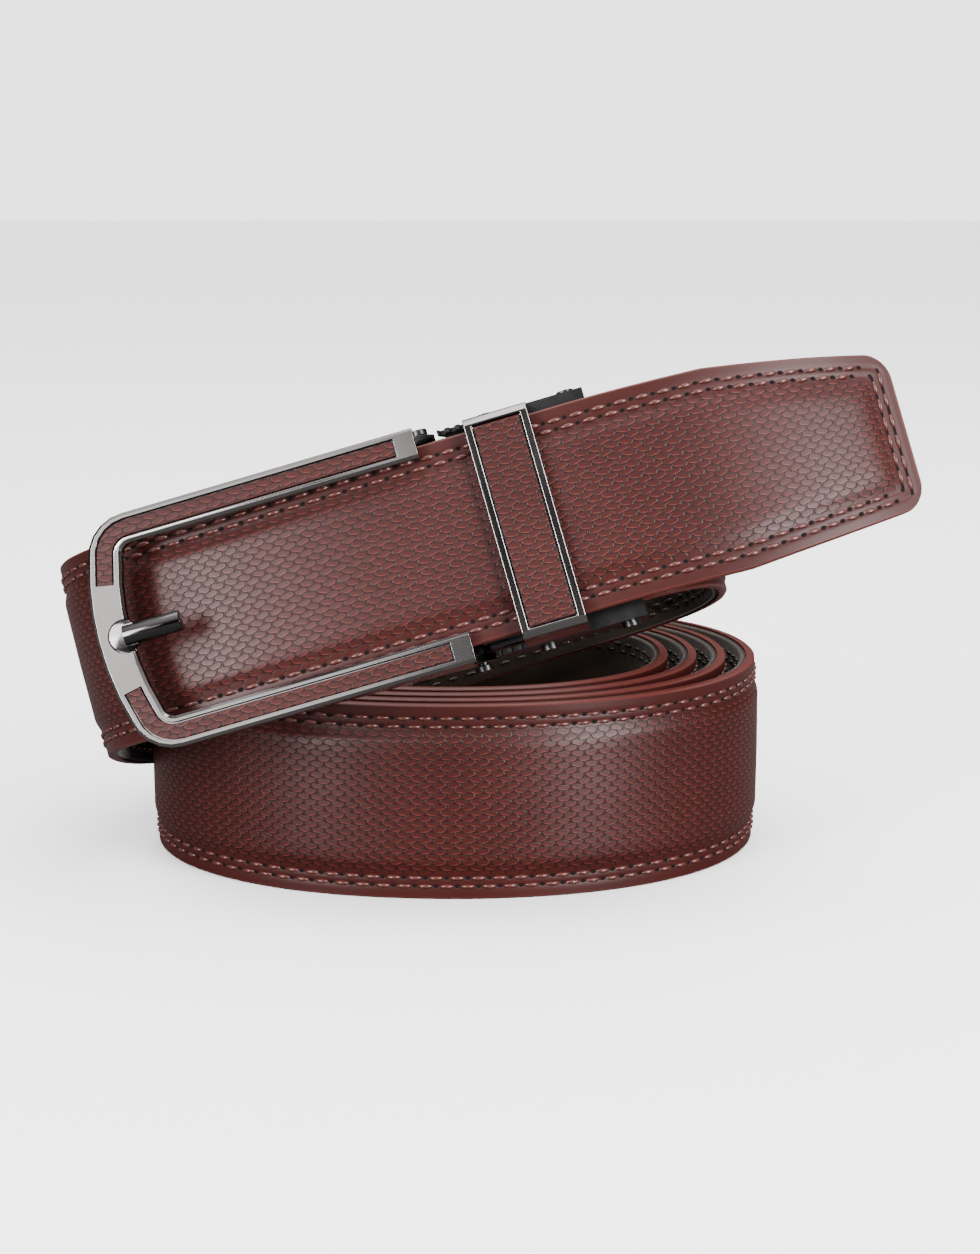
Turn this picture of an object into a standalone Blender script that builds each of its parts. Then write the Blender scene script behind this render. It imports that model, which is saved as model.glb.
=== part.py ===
"""Ratchet belt, fastened and coiled so that it stands on its lower edge.

Metres, +Z up, +X to the right and +Y away from the viewer. The strap is one band that runs from the
clamp behind the buckle, round the coil from the inside to the outside, up behind the frame, through
the frame and the keeper, and out to the tip. The buckle's pieces are built flat in the buckle's own
frame, x along the belt, y across it and z towards the wearer's front, and a parent empty leans them.
"""
import math

import bmesh
import bpy
import numpy as np
from mathutils import Matrix, Vector

# Strap
STRAP_WIDTH = 0.035
LEATHER_EDGE = 0.0016
LEATHER_CROWN = 0.0008
LINING_THICKNESS = 0.0009
LINING_INSET = 0.0004
BORDER_WIDTH = 0.0042
CROWN_SLOPE = 0.0030
EDGE_ROUND = 0.0005
PIECE_GAP = 0.0003
SECTION_STEP = 0.0066

# Coil: the outermost turn's middle line, and the air left between turns on each side
COIL_HALF_WIDTH = 0.0568
COIL_HALF_DEPTH = 0.0475
COIL_CENTRE_X = -0.0077
COIL_SQUARENESS = 2.12
TURN_AIR_RIGHT = 0.0019
TURN_AIR_BACK = 0.0010
TURN_AIR_LEFT = 0.0007
TURN_AIR_FRONT = 0.0009
COIL_ROW_DEGREES = 20.0

# Buckle placing: the middle of the keeper, its slope along the belt and its lean away from the viewer
BUCKLE_X = 0.0060
BUCKLE_STANDOFF = 0.0555
BUCKLE_OVER_COIL = 0.0155
BUCKLE_SLOPE = math.radians(16.4)
BUCKLE_LEAN = math.radians(16.0)

# Leads between the buckle and the coil
LEAD_DEPTH = 0.0740
RIGHT_TURN_REACH = 0.0138
LEFT_TURN_REACH = 0.0833

# Tongue
TONGUE_LENGTH = 0.0535
TONGUE_BEND_RADIUS = 0.095
TONGUE_SWING = math.radians(-1.1)
TIP_WIDTH = 0.0270
TIP_TAPER = 0.0340
TIP_CORNER = 0.0042

# Ratchet track on the back of the tongue
TRACK_WIDTH = 0.0100
TRACK_LENGTH = 0.1150
TRACK_TIP_MARGIN = 0.0100
TRACK_BASE = 0.0005
TRACK_TOOTH = 0.0006
TRACK_PITCH = 0.0060

# Housing and clamp
HOUSING_WIDTH = 0.0402
HOUSING_LEFT = -0.0050
HOUSING_RIGHT = 0.0153
HOUSING_DEPTH = 0.0085
HOUSING_WALL = 0.0010
EAR_WALL = 0.0011
EAR_BACK = 0.0019
TOOTH_COUNT = 3
TOOTH_PITCH = 0.0018
TOOTH_HEIGHT = 0.0013
CLAMP_THICKNESS = 0.0011
RIVET_RADIUS = 0.0015
RIVET_HEIGHT = 0.0009
RIVET_SIDES = 12

# Keeper
KEEPER_LENGTH = 0.0110
KEEPER_WALL = 0.0013
KEEPER_SIDE_GAP = 0.0006
KEEPER_FACE = 0.0018
KEEPER_SPLAY = 0.0006
KEEPER_BEND = 0.0014
KEEPER_RIM = 0.0013

# Frame
FRAME_WIDTH = 0.0407
FRAME_LEFT = -0.0745
FRAME_RIGHT = -0.0140
RAIL_WIDTH = 0.0052
BAR_WIDTH = 0.0057
RAIL_THICKNESS = 0.0025
RAIL_CHAMFER = 0.0005
FRAME_CORNER = 0.0048
BAR_BULGE = 0.0020
CORNER_STEPS = 5
BAR_STEPS = 6
GROOVE_WIDTH = 0.0032
GROOVE_DEPTH = 0.0010
GROOVE_END_CAP = 0.0034
ARM_RELIEF = 0.0011
ARM_RELIEF_LENGTH = 0.0021
BARE_BAR = 0.0183
CHEEK_WALL = 0.0014
CHEEK_LENGTH = 0.0420
CHEEK_INSET = 0.0002

# Prong stub
PRONG_ROOT_RADIUS = 0.0026
PRONG_SHAFT_RADIUS = 0.0018
PRONG_LENGTH = 0.0098
PRONG_ROOT_LENGTH = 0.0022
PRONG_SEAT = 0.0005

# Hinge and pawl
HINGE_SETBACK = 0.0003
HINGE_DEPTH = 0.0076
PIN_RADIUS = 0.0009
PAWL_WIDTH = 0.0100
PAWL_COLLAR = 0.0009
PAWL_NOSE = 0.0016

# Colours, roughness and metallic values
LEATHER = ("leather", (0.165, 0.040, 0.032), 0.42, 0.0)
SUEDE = ("suede_lining", (0.030, 0.020, 0.013), 0.95, 0.0)
NYLON = ("track_nylon", (0.012, 0.011, 0.010), 0.55, 0.0)
GUNMETAL = ("gunmetal", (0.330, 0.325, 0.315), 0.20, 1.0)
DARK_METAL = ("dark_metal", (0.060, 0.060, 0.062), 0.34, 1.0)

# Worked out from the sizes above
STRAP_EDGE = LEATHER_EDGE + PIECE_GAP + LINING_THICKNESS
STRAP_BACK = -STRAP_EDGE / 2
LEATHER_BACK = STRAP_BACK + LINING_THICKNESS + PIECE_GAP
LEATHER_TOP = LEATHER_BACK + LEATHER_EDGE
CROWN_TOP = LEATHER_TOP + LEATHER_CROWN
TURN_THICKNESS = STRAP_EDGE + LEATHER_CROWN
TRACK_TOP = STRAP_BACK - PIECE_GAP
TRACK_FLOOR = TRACK_TOP - TRACK_BASE - TRACK_TOOTH
PLATE_TOP = TRACK_FLOOR - PIECE_GAP
PLATE_BACK = PLATE_TOP - HOUSING_WALL
CLAMPED_CENTRE = PLATE_BACK - PIECE_GAP - CROWN_TOP
CLAMP_TOP = CLAMPED_CENTRE + STRAP_BACK - PIECE_GAP
CLAMP_LEFT = HOUSING_LEFT + HOUSING_WALL + PIECE_GAP
RAIL_BACK = LEATHER_TOP + PIECE_GAP
RAIL_FRONT = RAIL_BACK + RAIL_THICKNESS
HINGE_X = FRAME_RIGHT + HINGE_SETBACK
HINGE_Z = -HINGE_DEPTH
PIN_HOLE = PIN_RADIUS + PIECE_GAP
CHEEK_OUTER = FRAME_WIDTH / 2 - CHEEK_INSET
CHEEK_INNER = CHEEK_OUTER - CHEEK_WALL
EAR_OUTER = CHEEK_INNER - PIECE_GAP
EAR_INNER = EAR_OUTER - EAR_WALL
CUT_SLACK = 0.002

# Buckle axes: along the belt, across it, and out towards the viewer
ALONG = Vector((math.cos(BUCKLE_SLOPE), 0.0, math.sin(BUCKLE_SLOPE)))
ACROSS = Vector((-math.sin(BUCKLE_SLOPE) * math.cos(BUCKLE_LEAN), math.sin(BUCKLE_LEAN),
                 math.cos(BUCKLE_SLOPE) * math.cos(BUCKLE_LEAN)))
OUTWARD = ALONG.cross(ACROSS)
BUCKLE_CENTRE = Vector((BUCKLE_X, -BUCKLE_STANDOFF, 1.5 * STRAP_WIDTH + BUCKLE_OVER_COIL))

# The clamped end's lead, in the buckle's frame.
# reach: share of RIGHT_TURN_REACH past the housing; depth: share of LEAD_DEPTH behind the tongue
CLAMPED_LEAD = (
    # reach, depth
    (0.36, 0.020),
    (0.72, 0.095),
    (0.94, 0.235),
    (1.00, 0.430),
    (0.90, 0.660),
    (0.52, 0.840),
    (-0.15, 0.955),
)
# Where that lead goes down inside the coil.
# turn: degrees along the spiral; inset: share of TURN_THICKNESS inwards; rise: share of the buckle's
# height over the coil's middle; lean: share of the buckle's slope and lean
CLAMPED_DESCENT = (
    # turn, inset, rise, lean
    (62.0, 0.75, 0.575, 0.62),
    (90.0, 0.75, 0.440, 0.36),
    (120.0, 0.70, 0.310, 0.16),
    (150.0, 0.60, 0.185, 0.05),
    (180.0, 0.35, 0.075, 0.00),
    (205.0, 0.15, 0.015, 0.00),
)
# Where the outermost turn climbs round the back, with the same columns
FREE_CLIMB = (
    # turn, inset, rise, lean
    (1480.0, 0.00, 0.000, 0.00),
    (1505.0, 0.00, 0.006, 0.00),
    (1535.0, -0.25, 0.034, 0.06),
    (1563.0, -0.70, 0.080, 0.16),
    (1588.0, -1.25, 0.130, 0.32),
)
# The free lead round the left turn, in the buckle's frame.
# reach: share of LEFT_TURN_REACH to the left; depth: share of LEAD_DEPTH behind the tongue;
# lift: share of STRAP_WIDTH towards the upper edge; lean: share of the buckle's slope and lean
FREE_LEAD = (
    # reach, depth, lift, lean
    (1.010, 0.850, 0.050, 0.55),
    (1.025, 0.620, 0.062, 0.80),
    (1.000, 0.400, 0.056, 0.97),
    (0.946, 0.230, 0.040, 1.00),
    (0.850, 0.115, 0.020, 1.00),
    (0.710, 0.050, 0.006, 1.00),
    (0.540, 0.018, 0.000, 1.00),
    (0.360, 0.003, 0.000, 1.00),
    (0.190, 0.000, 0.000, 1.00),
    (0.060, 0.000, 0.000, 1.00),
    (-0.060, 0.000, 0.000, 1.00),
)
TONGUE_ROWS = 6


def material(look):
    """A Principled material from a name, a colour, a roughness and a metallic value."""
    name, colour, roughness, metallic = look
    made = bpy.data.materials.new(name)
    made.use_nodes = True
    shader = made.node_tree.nodes["Principled BSDF"]
    shader.inputs["Base Color"].default_value = (*colour, 1.0)
    shader.inputs["Roughness"].default_value = roughness
    shader.inputs["Metallic"].default_value = metallic
    return made


def add_object(name, mesh, collection, parent):
    """Put a mesh in the scene under a parent."""
    made = bpy.data.objects.new(name, mesh)
    collection.objects.link(made)
    made.parent = parent
    return made


def mesh_from(bm):
    """Finish a bmesh: faces out, then a mesh."""
    bmesh.ops.recalc_face_normals(bm, faces=bm.faces[:])
    mesh = bpy.data.meshes.new("shape")
    bm.to_mesh(mesh)
    bm.free()
    return mesh


def loft(sections, split=False):
    """A closed body through equal closed sections, an array of sections by points by 3. Where it is
    split, each side has the same diagonal, so that twisted bands that lie on each other stay apart."""
    bm = bmesh.new()
    rings = [[bm.verts.new(point) for point in section] for section in sections]
    for ring, following in zip(rings, rings[1:]):
        for k in range(len(ring)):
            after = (k + 1) % len(ring)
            side = (ring[k], ring[after], following[after], following[k])
            if split:
                bm.faces.new(side[:3])
                bm.faces.new((side[0], side[2], side[3]))
            else:
                bm.faces.new(side)
    bm.faces.new(rings[0])
    bm.faces.new(rings[-1])
    return mesh_from(bm)


def prism(outline, lift):
    """A flat outline of (u, v, w) points carried along the vector lift."""
    bm = bmesh.new()
    face = bm.faces.new([bm.verts.new(point) for point in outline])
    carried = bmesh.ops.extrude_face_region(bm, geom=[face])["geom"]
    moved = [v for v in carried if isinstance(v, bmesh.types.BMVert)]
    bmesh.ops.translate(bm, verts=moved, vec=lift)
    return mesh_from(bm)


def box(low, high):
    """A box between two corners."""
    bm = bmesh.new()
    bmesh.ops.create_cube(bm, size=1.0)
    low, high = Vector(low), Vector(high)
    bmesh.ops.scale(bm, verts=bm.verts[:], vec=high - low)
    bmesh.ops.translate(bm, verts=bm.verts[:], vec=(low + high) / 2)
    return mesh_from(bm)


def rod(start, end, radius, sides):
    """A round bar from start to end."""
    bm = bmesh.new()
    start, end = Vector(start), Vector(end)
    bmesh.ops.create_cone(bm, cap_ends=True, segments=sides, radius1=radius, radius2=radius,
                          depth=(end - start).length)
    turn = Vector((0, 0, 1)).rotation_difference(end - start).to_matrix().to_4x4()
    bmesh.ops.transform(bm, verts=bm.verts[:], matrix=Matrix.Translation((start + end) / 2) @ turn)
    return mesh_from(bm)


def combine(target, tool_mesh, operation, collection):
    """Boolean the target with a tool mesh, which stays as a hidden cutter."""
    tool = add_object(target.name + "_tool", tool_mesh, collection, target.parent)
    tool.location = target.location
    tool.hide_render = True
    tool.display_type = "WIRE"
    step = target.modifiers.new(operation.lower(), "BOOLEAN")
    step.operation = operation
    step.solver = "EXACT"
    step.object = tool


def spline(rows, spacing):
    """Rows of numbers, the first three a point, read from a natural cubic at an even spacing."""
    rows = np.array(rows)
    knots = np.concatenate(([0.0], np.cumsum(np.linalg.norm(np.diff(rows[:, :3], axis=0), axis=1))))
    gaps = np.diff(knots)
    count = len(knots)
    system = np.eye(count)
    slopes = np.zeros_like(rows)
    for k in range(1, count - 1):
        system[k, k - 1:k + 2] = gaps[k - 1], 2 * (gaps[k - 1] + gaps[k]), gaps[k]
        slopes[k] = 6 * ((rows[k + 1] - rows[k]) / gaps[k] - (rows[k] - rows[k - 1]) / gaps[k - 1])
    bends = np.linalg.solve(system, slopes)
    places = np.linspace(0.0, knots[-1], max(2, round(knots[-1] / spacing) + 1))
    span = np.clip(np.searchsorted(knots, places, side="right") - 1, 0, count - 2)
    before = (places - knots[span])[:, None]
    after = (knots[span + 1] - places)[:, None]
    wide = gaps[span][:, None]
    return (bends[span] * after ** 3 / (6 * wide) + bends[span + 1] * before ** 3 / (6 * wide)
            + (rows[span] / wide - bends[span] * wide / 6) * after
            + (rows[span + 1] / wide - bends[span + 1] * wide / 6) * before)


def coil_point(turn, inset):
    """The coil's middle line at a turn in degrees, on a superellipse that closes in by one turn's
    pitch for each turn back from the last, with an inset in metres."""
    angle = math.radians(turn)
    c, s = math.cos(angle), math.sin(angle)
    size = (abs(c) ** COIL_SQUARENESS + abs(s) ** COIL_SQUARENESS) ** (-1 / COIL_SQUARENESS)
    side_air = TURN_AIR_RIGHT if c > 0 else TURN_AIR_LEFT
    depth_air = TURN_AIR_BACK if s > 0 else TURN_AIR_FRONT
    pitch = TURN_THICKNESS + side_air * c * c + depth_air * s * s
    inward = pitch * (4 * 360 - turn) / 360 + inset
    normal = Vector((c / COIL_HALF_WIDTH, s / COIL_HALF_DEPTH)).normalized()
    return (COIL_CENTRE_X + COIL_HALF_WIDTH * size * c - inward * normal.x,
            COIL_HALF_DEPTH * size * s - inward * normal.y)


def coil_row(turn, inset, rise, lean):
    """A row of the belt's path on or near the coil."""
    x, y = coil_point(turn, inset * TURN_THICKNESS)
    z = STRAP_WIDTH / 2 + rise * (BUCKLE_CENTRE.z - STRAP_WIDTH / 2)
    across = Vector((0, 0, 1)).lerp(ACROSS, lean)
    return (x, y, z, *across)


def buckle_row(x, y, z, lean=1.0):
    """A row of the belt's path in the buckle's frame."""
    place = BUCKLE_CENTRE + x * ALONG + y * ACROSS + z * OUTWARD
    return (*place, *Vector((0, 0, 1)).lerp(ACROSS, lean))


def belt_rows():
    """The rows that the belt's middle line passes, from the clamped end to the tip."""
    rows = [buckle_row(CLAMP_LEFT + share * (HOUSING_RIGHT - CLAMP_LEFT), 0.0, CLAMPED_CENTRE)
            for share in (0.0, 0.25, 0.5, 0.75, 1.0)]
    for reach, depth in CLAMPED_LEAD:
        rows.append(buckle_row(HOUSING_RIGHT + reach * RIGHT_TURN_REACH, 0.0,
                               CLAMPED_CENTRE - depth * (LEAD_DEPTH + CLAMPED_CENTRE)))
    for turn, inset, rise, lean in CLAMPED_DESCENT:
        rows.append(coil_row(turn, inset, rise, lean))
    first = CLAMPED_DESCENT[-1][0] + COIL_ROW_DEGREES
    last = FREE_CLIMB[0][0] - COIL_ROW_DEGREES / 2
    for turn in np.arange(first, last, COIL_ROW_DEGREES):
        rows.append(coil_row(turn, 0.0, 0.0, 0.0))
    for turn, inset, rise, lean in FREE_CLIMB:
        rows.append(coil_row(turn, inset, rise, lean))
    for reach, depth, lift, lean in FREE_LEAD:
        rows.append(buckle_row(-reach * LEFT_TURN_REACH, lift * STRAP_WIDTH, -depth * LEAD_DEPTH, lean))
    for share in np.linspace(0.0, 1.0, TONGUE_ROWS):
        bend = share * TONGUE_LENGTH / TONGUE_BEND_RADIUS
        run = TONGUE_BEND_RADIUS * math.sin(bend)
        fall = TONGUE_BEND_RADIUS * (1 - math.cos(bend))
        rows.append(buckle_row(HOUSING_RIGHT + run, run * math.sin(TONGUE_SWING), -fall))
    return rows


def belt_path():
    """The belt's middle line: points, unit directions across and outward, and length from the start."""
    read = spline(belt_rows(), SECTION_STEP)
    centre = read[:, :3]
    centre[:, 2] = np.maximum(centre[:, 2], STRAP_WIDTH / 2)
    steps = np.linalg.norm(np.diff(centre, axis=0), axis=1)
    run = np.concatenate(([0.0], np.cumsum(steps)))
    tangent = np.gradient(centre, run, axis=0)
    tangent /= np.linalg.norm(tangent, axis=1)[:, None]
    across = read[:, 3:]
    across = across - (across * tangent).sum(axis=1)[:, None] * tangent
    across /= np.linalg.norm(across, axis=1)[:, None]
    return centre, across, np.cross(tangent, across), run


def half_width(to_tip, full, tip, taper, corner):
    """Half of the strap's width at a distance from its tip: straight, tapered, then round corners."""
    share = np.clip(to_tip / taper, 0.0, 1.0)
    wide = tip / 2 + (full - tip) / 2 * share ** 0.9
    inside = np.clip(corner - to_tip, 0.0, corner)
    return wide - corner + np.sqrt(np.clip(corner ** 2 - inside ** 2, 0.0, None))


def at_runs(path, runs):
    """The path's points and directions at given lengths."""
    centre, across, outward, run = path
    read = [np.stack([np.interp(runs, run, part[:, k]) for k in range(3)], axis=1)
            for part in (centre, across, outward)]
    return read[0], read[1], read[2]


def band(path, runs, profile):
    """Sections for a band: profile(run) gives (across, outward) pairs for a section."""
    centre, across, outward = at_runs(path, runs)
    places = np.array([profile(run) for run in runs])
    return (centre[:, None, :] + places[:, :, 0:1] * across[:, None, :]
            + places[:, :, 1:2] * outward[:, None, :])


def tip_runs(path, inset):
    """Section places along the strap, with close ones round the tip's corners."""
    run = path[3]
    end = run[-1] - inset
    corner = [end - TIP_CORNER * (1 - math.sin(math.radians(turn))) for turn in (0, 25, 45, 62, 78, 90)]
    return np.array([place for place in run if place < corner[0] - SECTION_STEP / 3] + corner)


def strap(path, collection, parent):
    """The leather face: flat turned borders and a padded middle."""
    end = path[3][-1]

    def profile(run):
        half = half_width(end - run, STRAP_WIDTH, TIP_WIDTH, TIP_TAPER, TIP_CORNER)
        border = half * BORDER_WIDTH / (STRAP_WIDTH / 2)
        slope = half * (BORDER_WIDTH + CROWN_SLOPE) / (STRAP_WIDTH / 2)
        side = ((half, LEATHER_TOP - EDGE_ROUND), (half - EDGE_ROUND, LEATHER_TOP),
                (half - border, LEATHER_TOP), (half - slope, CROWN_TOP - LEATHER_CROWN / 4))
        other = tuple((-w, n) for w, n in reversed(side))
        return ((-half, LEATHER_BACK), (half, LEATHER_BACK)) + side + ((0.0, CROWN_TOP),) + other

    made = add_object("strap", loft(band(path, tip_runs(path, 0.0), profile), True), collection, parent)
    made.data.materials.append(material(LEATHER))
    made.data.shade_smooth()
    made.data.set_sharp_from_angle(angle=math.radians(40))


def strap_lining(path, collection, parent):
    """The suede backing, a little narrower than the leather, its profile listed so that its top
    splits as the leather's back does."""
    end = path[3][-1] - LINING_INSET

    def profile(run):
        half = half_width(end - run, STRAP_WIDTH - 2 * LINING_INSET, TIP_WIDTH - 2 * LINING_INSET,
                          TIP_TAPER, TIP_CORNER)
        top = STRAP_BACK + LINING_THICKNESS
        return ((half, STRAP_BACK), (-half, STRAP_BACK), (-half, top), (half, top))

    made = add_object("strap_lining", loft(band(path, tip_runs(path, LINING_INSET), profile), True),
                      collection, parent)
    made.data.materials.append(material(SUEDE))


def ratchet_track(path, collection, parent):
    """The toothed strip on the back of the tongue, a saw tooth for each pitch."""
    end = path[3][-1] - TRACK_TIP_MARGIN
    count = round(TRACK_LENGTH / TRACK_PITCH)
    runs, floors = [], []
    for k in range(count):
        start = end - (count - k) * TRACK_PITCH
        runs += [start, start + 0.85 * TRACK_PITCH]
        floors += [TRACK_TOP - TRACK_BASE, TRACK_FLOOR]
    floor_at = dict(zip(runs, floors))

    def profile(run):
        half = TRACK_WIDTH / 2
        return ((-half, floor_at[run]), (half, floor_at[run]), (half, TRACK_TOP), (-half, TRACK_TOP))

    made = add_object("ratchet_track", loft(band(path, np.array(runs), profile)), collection, parent)
    made.data.materials.append(material(NYLON))


def housing(collection, cutters, parent):
    """The mechanism's box: a front plate behind the tongue, two side walls with toothed ears, two
    inner ears that hold the hinge pin, and the rivets' heads."""
    side = HOUSING_WIDTH / 2
    inner = side - HOUSING_WALL
    back = PLATE_TOP - HOUSING_DEPTH
    channel = [(side, PLATE_TOP), (side, back), (inner, back), (inner, PLATE_BACK),
               (-inner, PLATE_BACK), (-inner, back), (-side, back), (-side, PLATE_TOP)]
    outline = [(HOUSING_LEFT, y, z) for y, z in channel]
    made = add_object("housing", prism(outline, (HOUSING_RIGHT - HOUSING_LEFT, 0, 0)), collection, parent)
    made.data.materials.append(material(DARK_METAL))
    overlap = HOUSING_WALL
    for turn in (1, -1):
        toothed = [(HOUSING_LEFT + overlap, back + EAR_BACK), (HOUSING_LEFT + overlap, PLATE_TOP)]
        for k in range(TOOTH_COUNT):
            start = HOUSING_LEFT - k * TOOTH_PITCH
            toothed += [(start - 0.2 * TOOTH_PITCH, PLATE_TOP),
                        (start - 0.3 * TOOTH_PITCH, PLATE_TOP - TOOTH_HEIGHT),
                        (start - 0.7 * TOOTH_PITCH, PLATE_TOP - TOOTH_HEIGHT),
                        (start - 0.8 * TOOTH_PITCH, PLATE_TOP)]
        left = HOUSING_LEFT - TOOTH_COUNT * TOOTH_PITCH
        toothed += [(left, PLATE_TOP), (left, HINGE_Z + 3 * PIN_RADIUS), (left + TOOTH_PITCH, back + EAR_BACK)]
        wall = [(x, turn * (side - CHEEK_INSET), z) for x, z in toothed]
        combine(made, prism(wall, (0, -turn * (HOUSING_WALL - CHEEK_INSET), 0)), "UNION", cutters)
        reach = PIN_HOLE + HOUSING_WALL
        ear = [(HOUSING_LEFT + overlap, back + EAR_BACK), (HOUSING_LEFT + overlap, PLATE_BACK),
               (HINGE_X + reach, PLATE_BACK)]
        ear += [(HINGE_X + reach * math.cos(a), HINGE_Z + reach * math.sin(a))
                for a in (math.radians(70), math.radians(110), math.radians(150), math.radians(190),
                          math.radians(230), math.radians(270))]
        flange = [(x, turn * EAR_OUTER, z) for x, z in ear]
        combine(made, prism(flange, (0, -turn * EAR_WALL, 0)), "UNION", cutters)
        root = (HOUSING_LEFT, turn * EAR_INNER, back + EAR_BACK)
        tie = (HOUSING_LEFT + overlap, turn * (side - overlap / 2), PLATE_BACK + overlap / 2)
        low = tuple(min(a, b) for a, b in zip(root, tie))
        high = tuple(max(a, b) for a, b in zip(root, tie))
        combine(made, box(low, high), "UNION", cutters)
        for x in (HOUSING_LEFT + 2 * RIVET_RADIUS, HOUSING_RIGHT - 2 * RIVET_RADIUS):
            place = Vector((x, turn * (side - overlap / 2), HINGE_Z))
            combine(made, rod(place, place + Vector((0, turn * (RIVET_HEIGHT + overlap / 2), 0)),
                              RIVET_RADIUS, RIVET_SIDES), "UNION", cutters)
    hole = rod((HINGE_X, -side, HINGE_Z), (HINGE_X, side, HINGE_Z), PIN_HOLE, RIVET_SIDES)
    combine(made, hole, "DIFFERENCE", cutters)


def strap_clamp(collection, parent):
    """The back plate that grips the clamped end between the housing's walls."""
    half = HOUSING_WIDTH / 2 - HOUSING_WALL - PIECE_GAP
    low = (CLAMP_LEFT, -half, CLAMP_TOP - CLAMP_THICKNESS)
    made = add_object("strap_clamp", box(low, (HOUSING_RIGHT, half, CLAMP_TOP)), collection, parent)
    made.data.materials.append(material(DARK_METAL))


def keeper(collection, cutters, parent):
    """The bridge over the tongue, one bent strip with a recess for its leather."""
    inner = STRAP_WIDTH / 2 + KEEPER_SIDE_GAP
    outer = inner + KEEPER_WALL
    under = CROWN_TOP + PIECE_GAP
    front = under + KEEPER_FACE
    foot = PLATE_TOP + PIECE_GAP
    half = ((outer + KEEPER_SPLAY, foot), (outer, front - 1.6 * KEEPER_BEND),
            (outer - 0.25 * KEEPER_BEND, front - 0.6 * KEEPER_BEND), (outer - KEEPER_BEND, front))
    inside = ((inner + KEEPER_SPLAY, foot), (inner, under - KEEPER_BEND / 2),
              (inner - KEEPER_BEND / 2, under))
    outline = list(half) + [(-y, z) for y, z in reversed(half)]
    outline += [(-y, z) for y, z in inside] + list(reversed(inside))
    points = [(-KEEPER_LENGTH / 2, y, z) for y, z in outline]
    made = add_object("keeper", prism(points, (KEEPER_LENGTH, 0, 0)), collection, parent)
    made.data.materials.append(material(GUNMETAL))
    x = KEEPER_LENGTH / 2 - KEEPER_RIM
    y = outer - KEEPER_BEND - KEEPER_RIM / 4
    floor = front - GROOVE_DEPTH
    combine(made, box((-x, -y, floor), (x, y, front + CUT_SLACK)), "DIFFERENCE", cutters)
    gap = PIECE_GAP
    leather = box((-x + gap, -y + gap, floor + gap), (x - gap, y - gap, front - PIECE_GAP / 2))
    inlay = add_object("keeper_inlay", leather, collection, parent)
    inlay.data.materials.append(material(LEATHER))


def frame_line():
    """The frame's middle line in the buckle's plane, from the lower arm's end round to the upper
    arm's end, as rows of (x, y, unit x to the outside, unit y to the outside, width)."""
    half = (FRAME_WIDTH - RAIL_WIDTH) / 2
    left = FRAME_LEFT + BAR_WIDTH / 2 + BAR_BULGE
    rows = [(FRAME_RIGHT, -half, 0.0, -1.0, RAIL_WIDTH)]
    rows.append((FRAME_RIGHT - GROOVE_END_CAP, -half, 0.0, -1.0, RAIL_WIDTH))
    middle = (left + FRAME_CORNER, -half + FRAME_CORNER)
    for k in range(CORNER_STEPS + 1):
        share = k / CORNER_STEPS
        turn = math.radians(-90 - 82 * share)
        wide = RAIL_WIDTH + (BAR_WIDTH - RAIL_WIDTH) * share
        rows.append((middle[0] + FRAME_CORNER * math.cos(turn), middle[1] + FRAME_CORNER * math.sin(turn),
                     math.cos(turn), math.sin(turn), wide))
    chord = -rows[-1][1]
    radius = (chord ** 2 + BAR_BULGE ** 2) / (2 * BAR_BULGE)
    span = math.asin(chord / radius)
    for k in range(1, BAR_STEPS // 2 + 1):
        turn = span * (1 - 2 * k / BAR_STEPS)
        x = rows[CORNER_STEPS + 2][0] - BAR_BULGE + radius * (1 - math.cos(turn))
        rows.append((x, -radius * math.sin(turn), -math.cos(turn), -math.sin(turn), BAR_WIDTH))
    mirrored = [(x, -y, out_x, -out_y, wide) for x, y, out_x, out_y, wide in reversed(rows[:-1])]
    return rows + mirrored


def carried(line, profile):
    """Sections of a profile of (share or offset from the middle, height) pairs along the frame."""
    return [[(x + out_x * w, y + out_y * w, z) for w, z in profile(wide)]
            for x, y, out_x, out_y, wide in line]


def rail_profile(wide):
    """A rail's section with its upper edges chamfered."""
    w, c = wide / 2, RAIL_CHAMFER
    return ((-w, RAIL_BACK), (w, RAIL_BACK), (w, RAIL_FRONT - c), (w - c, RAIL_FRONT),
            (c - w, RAIL_FRONT), (-w, RAIL_FRONT - c))


def groove_line(upper, trim):
    """The stretch of the frame's line that holds leather, shortened by trim at both ends."""
    line = frame_line()
    half = [row for row in line if row[1] < -BARE_BAR / 2]
    foot = half[1]
    half = [(foot[0] - trim, *foot[1:])] + half[2:]
    corner = half[-1]
    past = min(line[CORNER_STEPS + 2:len(line) // 2 + 1], key=lambda row: abs(row[1] + BARE_BAR / 2))
    aim = -BARE_BAR / 2 - trim
    share = (aim - corner[1]) / (past[1] - corner[1]) if past[1] != corner[1] else 0.0
    end = tuple(a + share * (b - a) for a, b in zip(corner, past))
    half.append(end)
    if upper:
        half = [(x, -y, out_x, -out_y, wide) for x, y, out_x, out_y, wide in half]
    return half


def arm_relief():
    """The wedge cut from the arms' backs at their ends, which lies along the strap when the frame
    is open."""
    half = CHEEK_INNER - PIECE_GAP
    low = RAIL_BACK - CUT_SLACK
    start = FRAME_RIGHT - ARM_RELIEF_LENGTH * (1 + CUT_SLACK / ARM_RELIEF)
    high = RAIL_BACK + ARM_RELIEF * (1 + CUT_SLACK / ARM_RELIEF_LENGTH)
    outline = [(start, -half, low), (FRAME_RIGHT + CUT_SLACK, -half, low),
               (FRAME_RIGHT + CUT_SLACK, -half, high)]
    return prism(outline, (0, 2 * half, 0))


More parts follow.
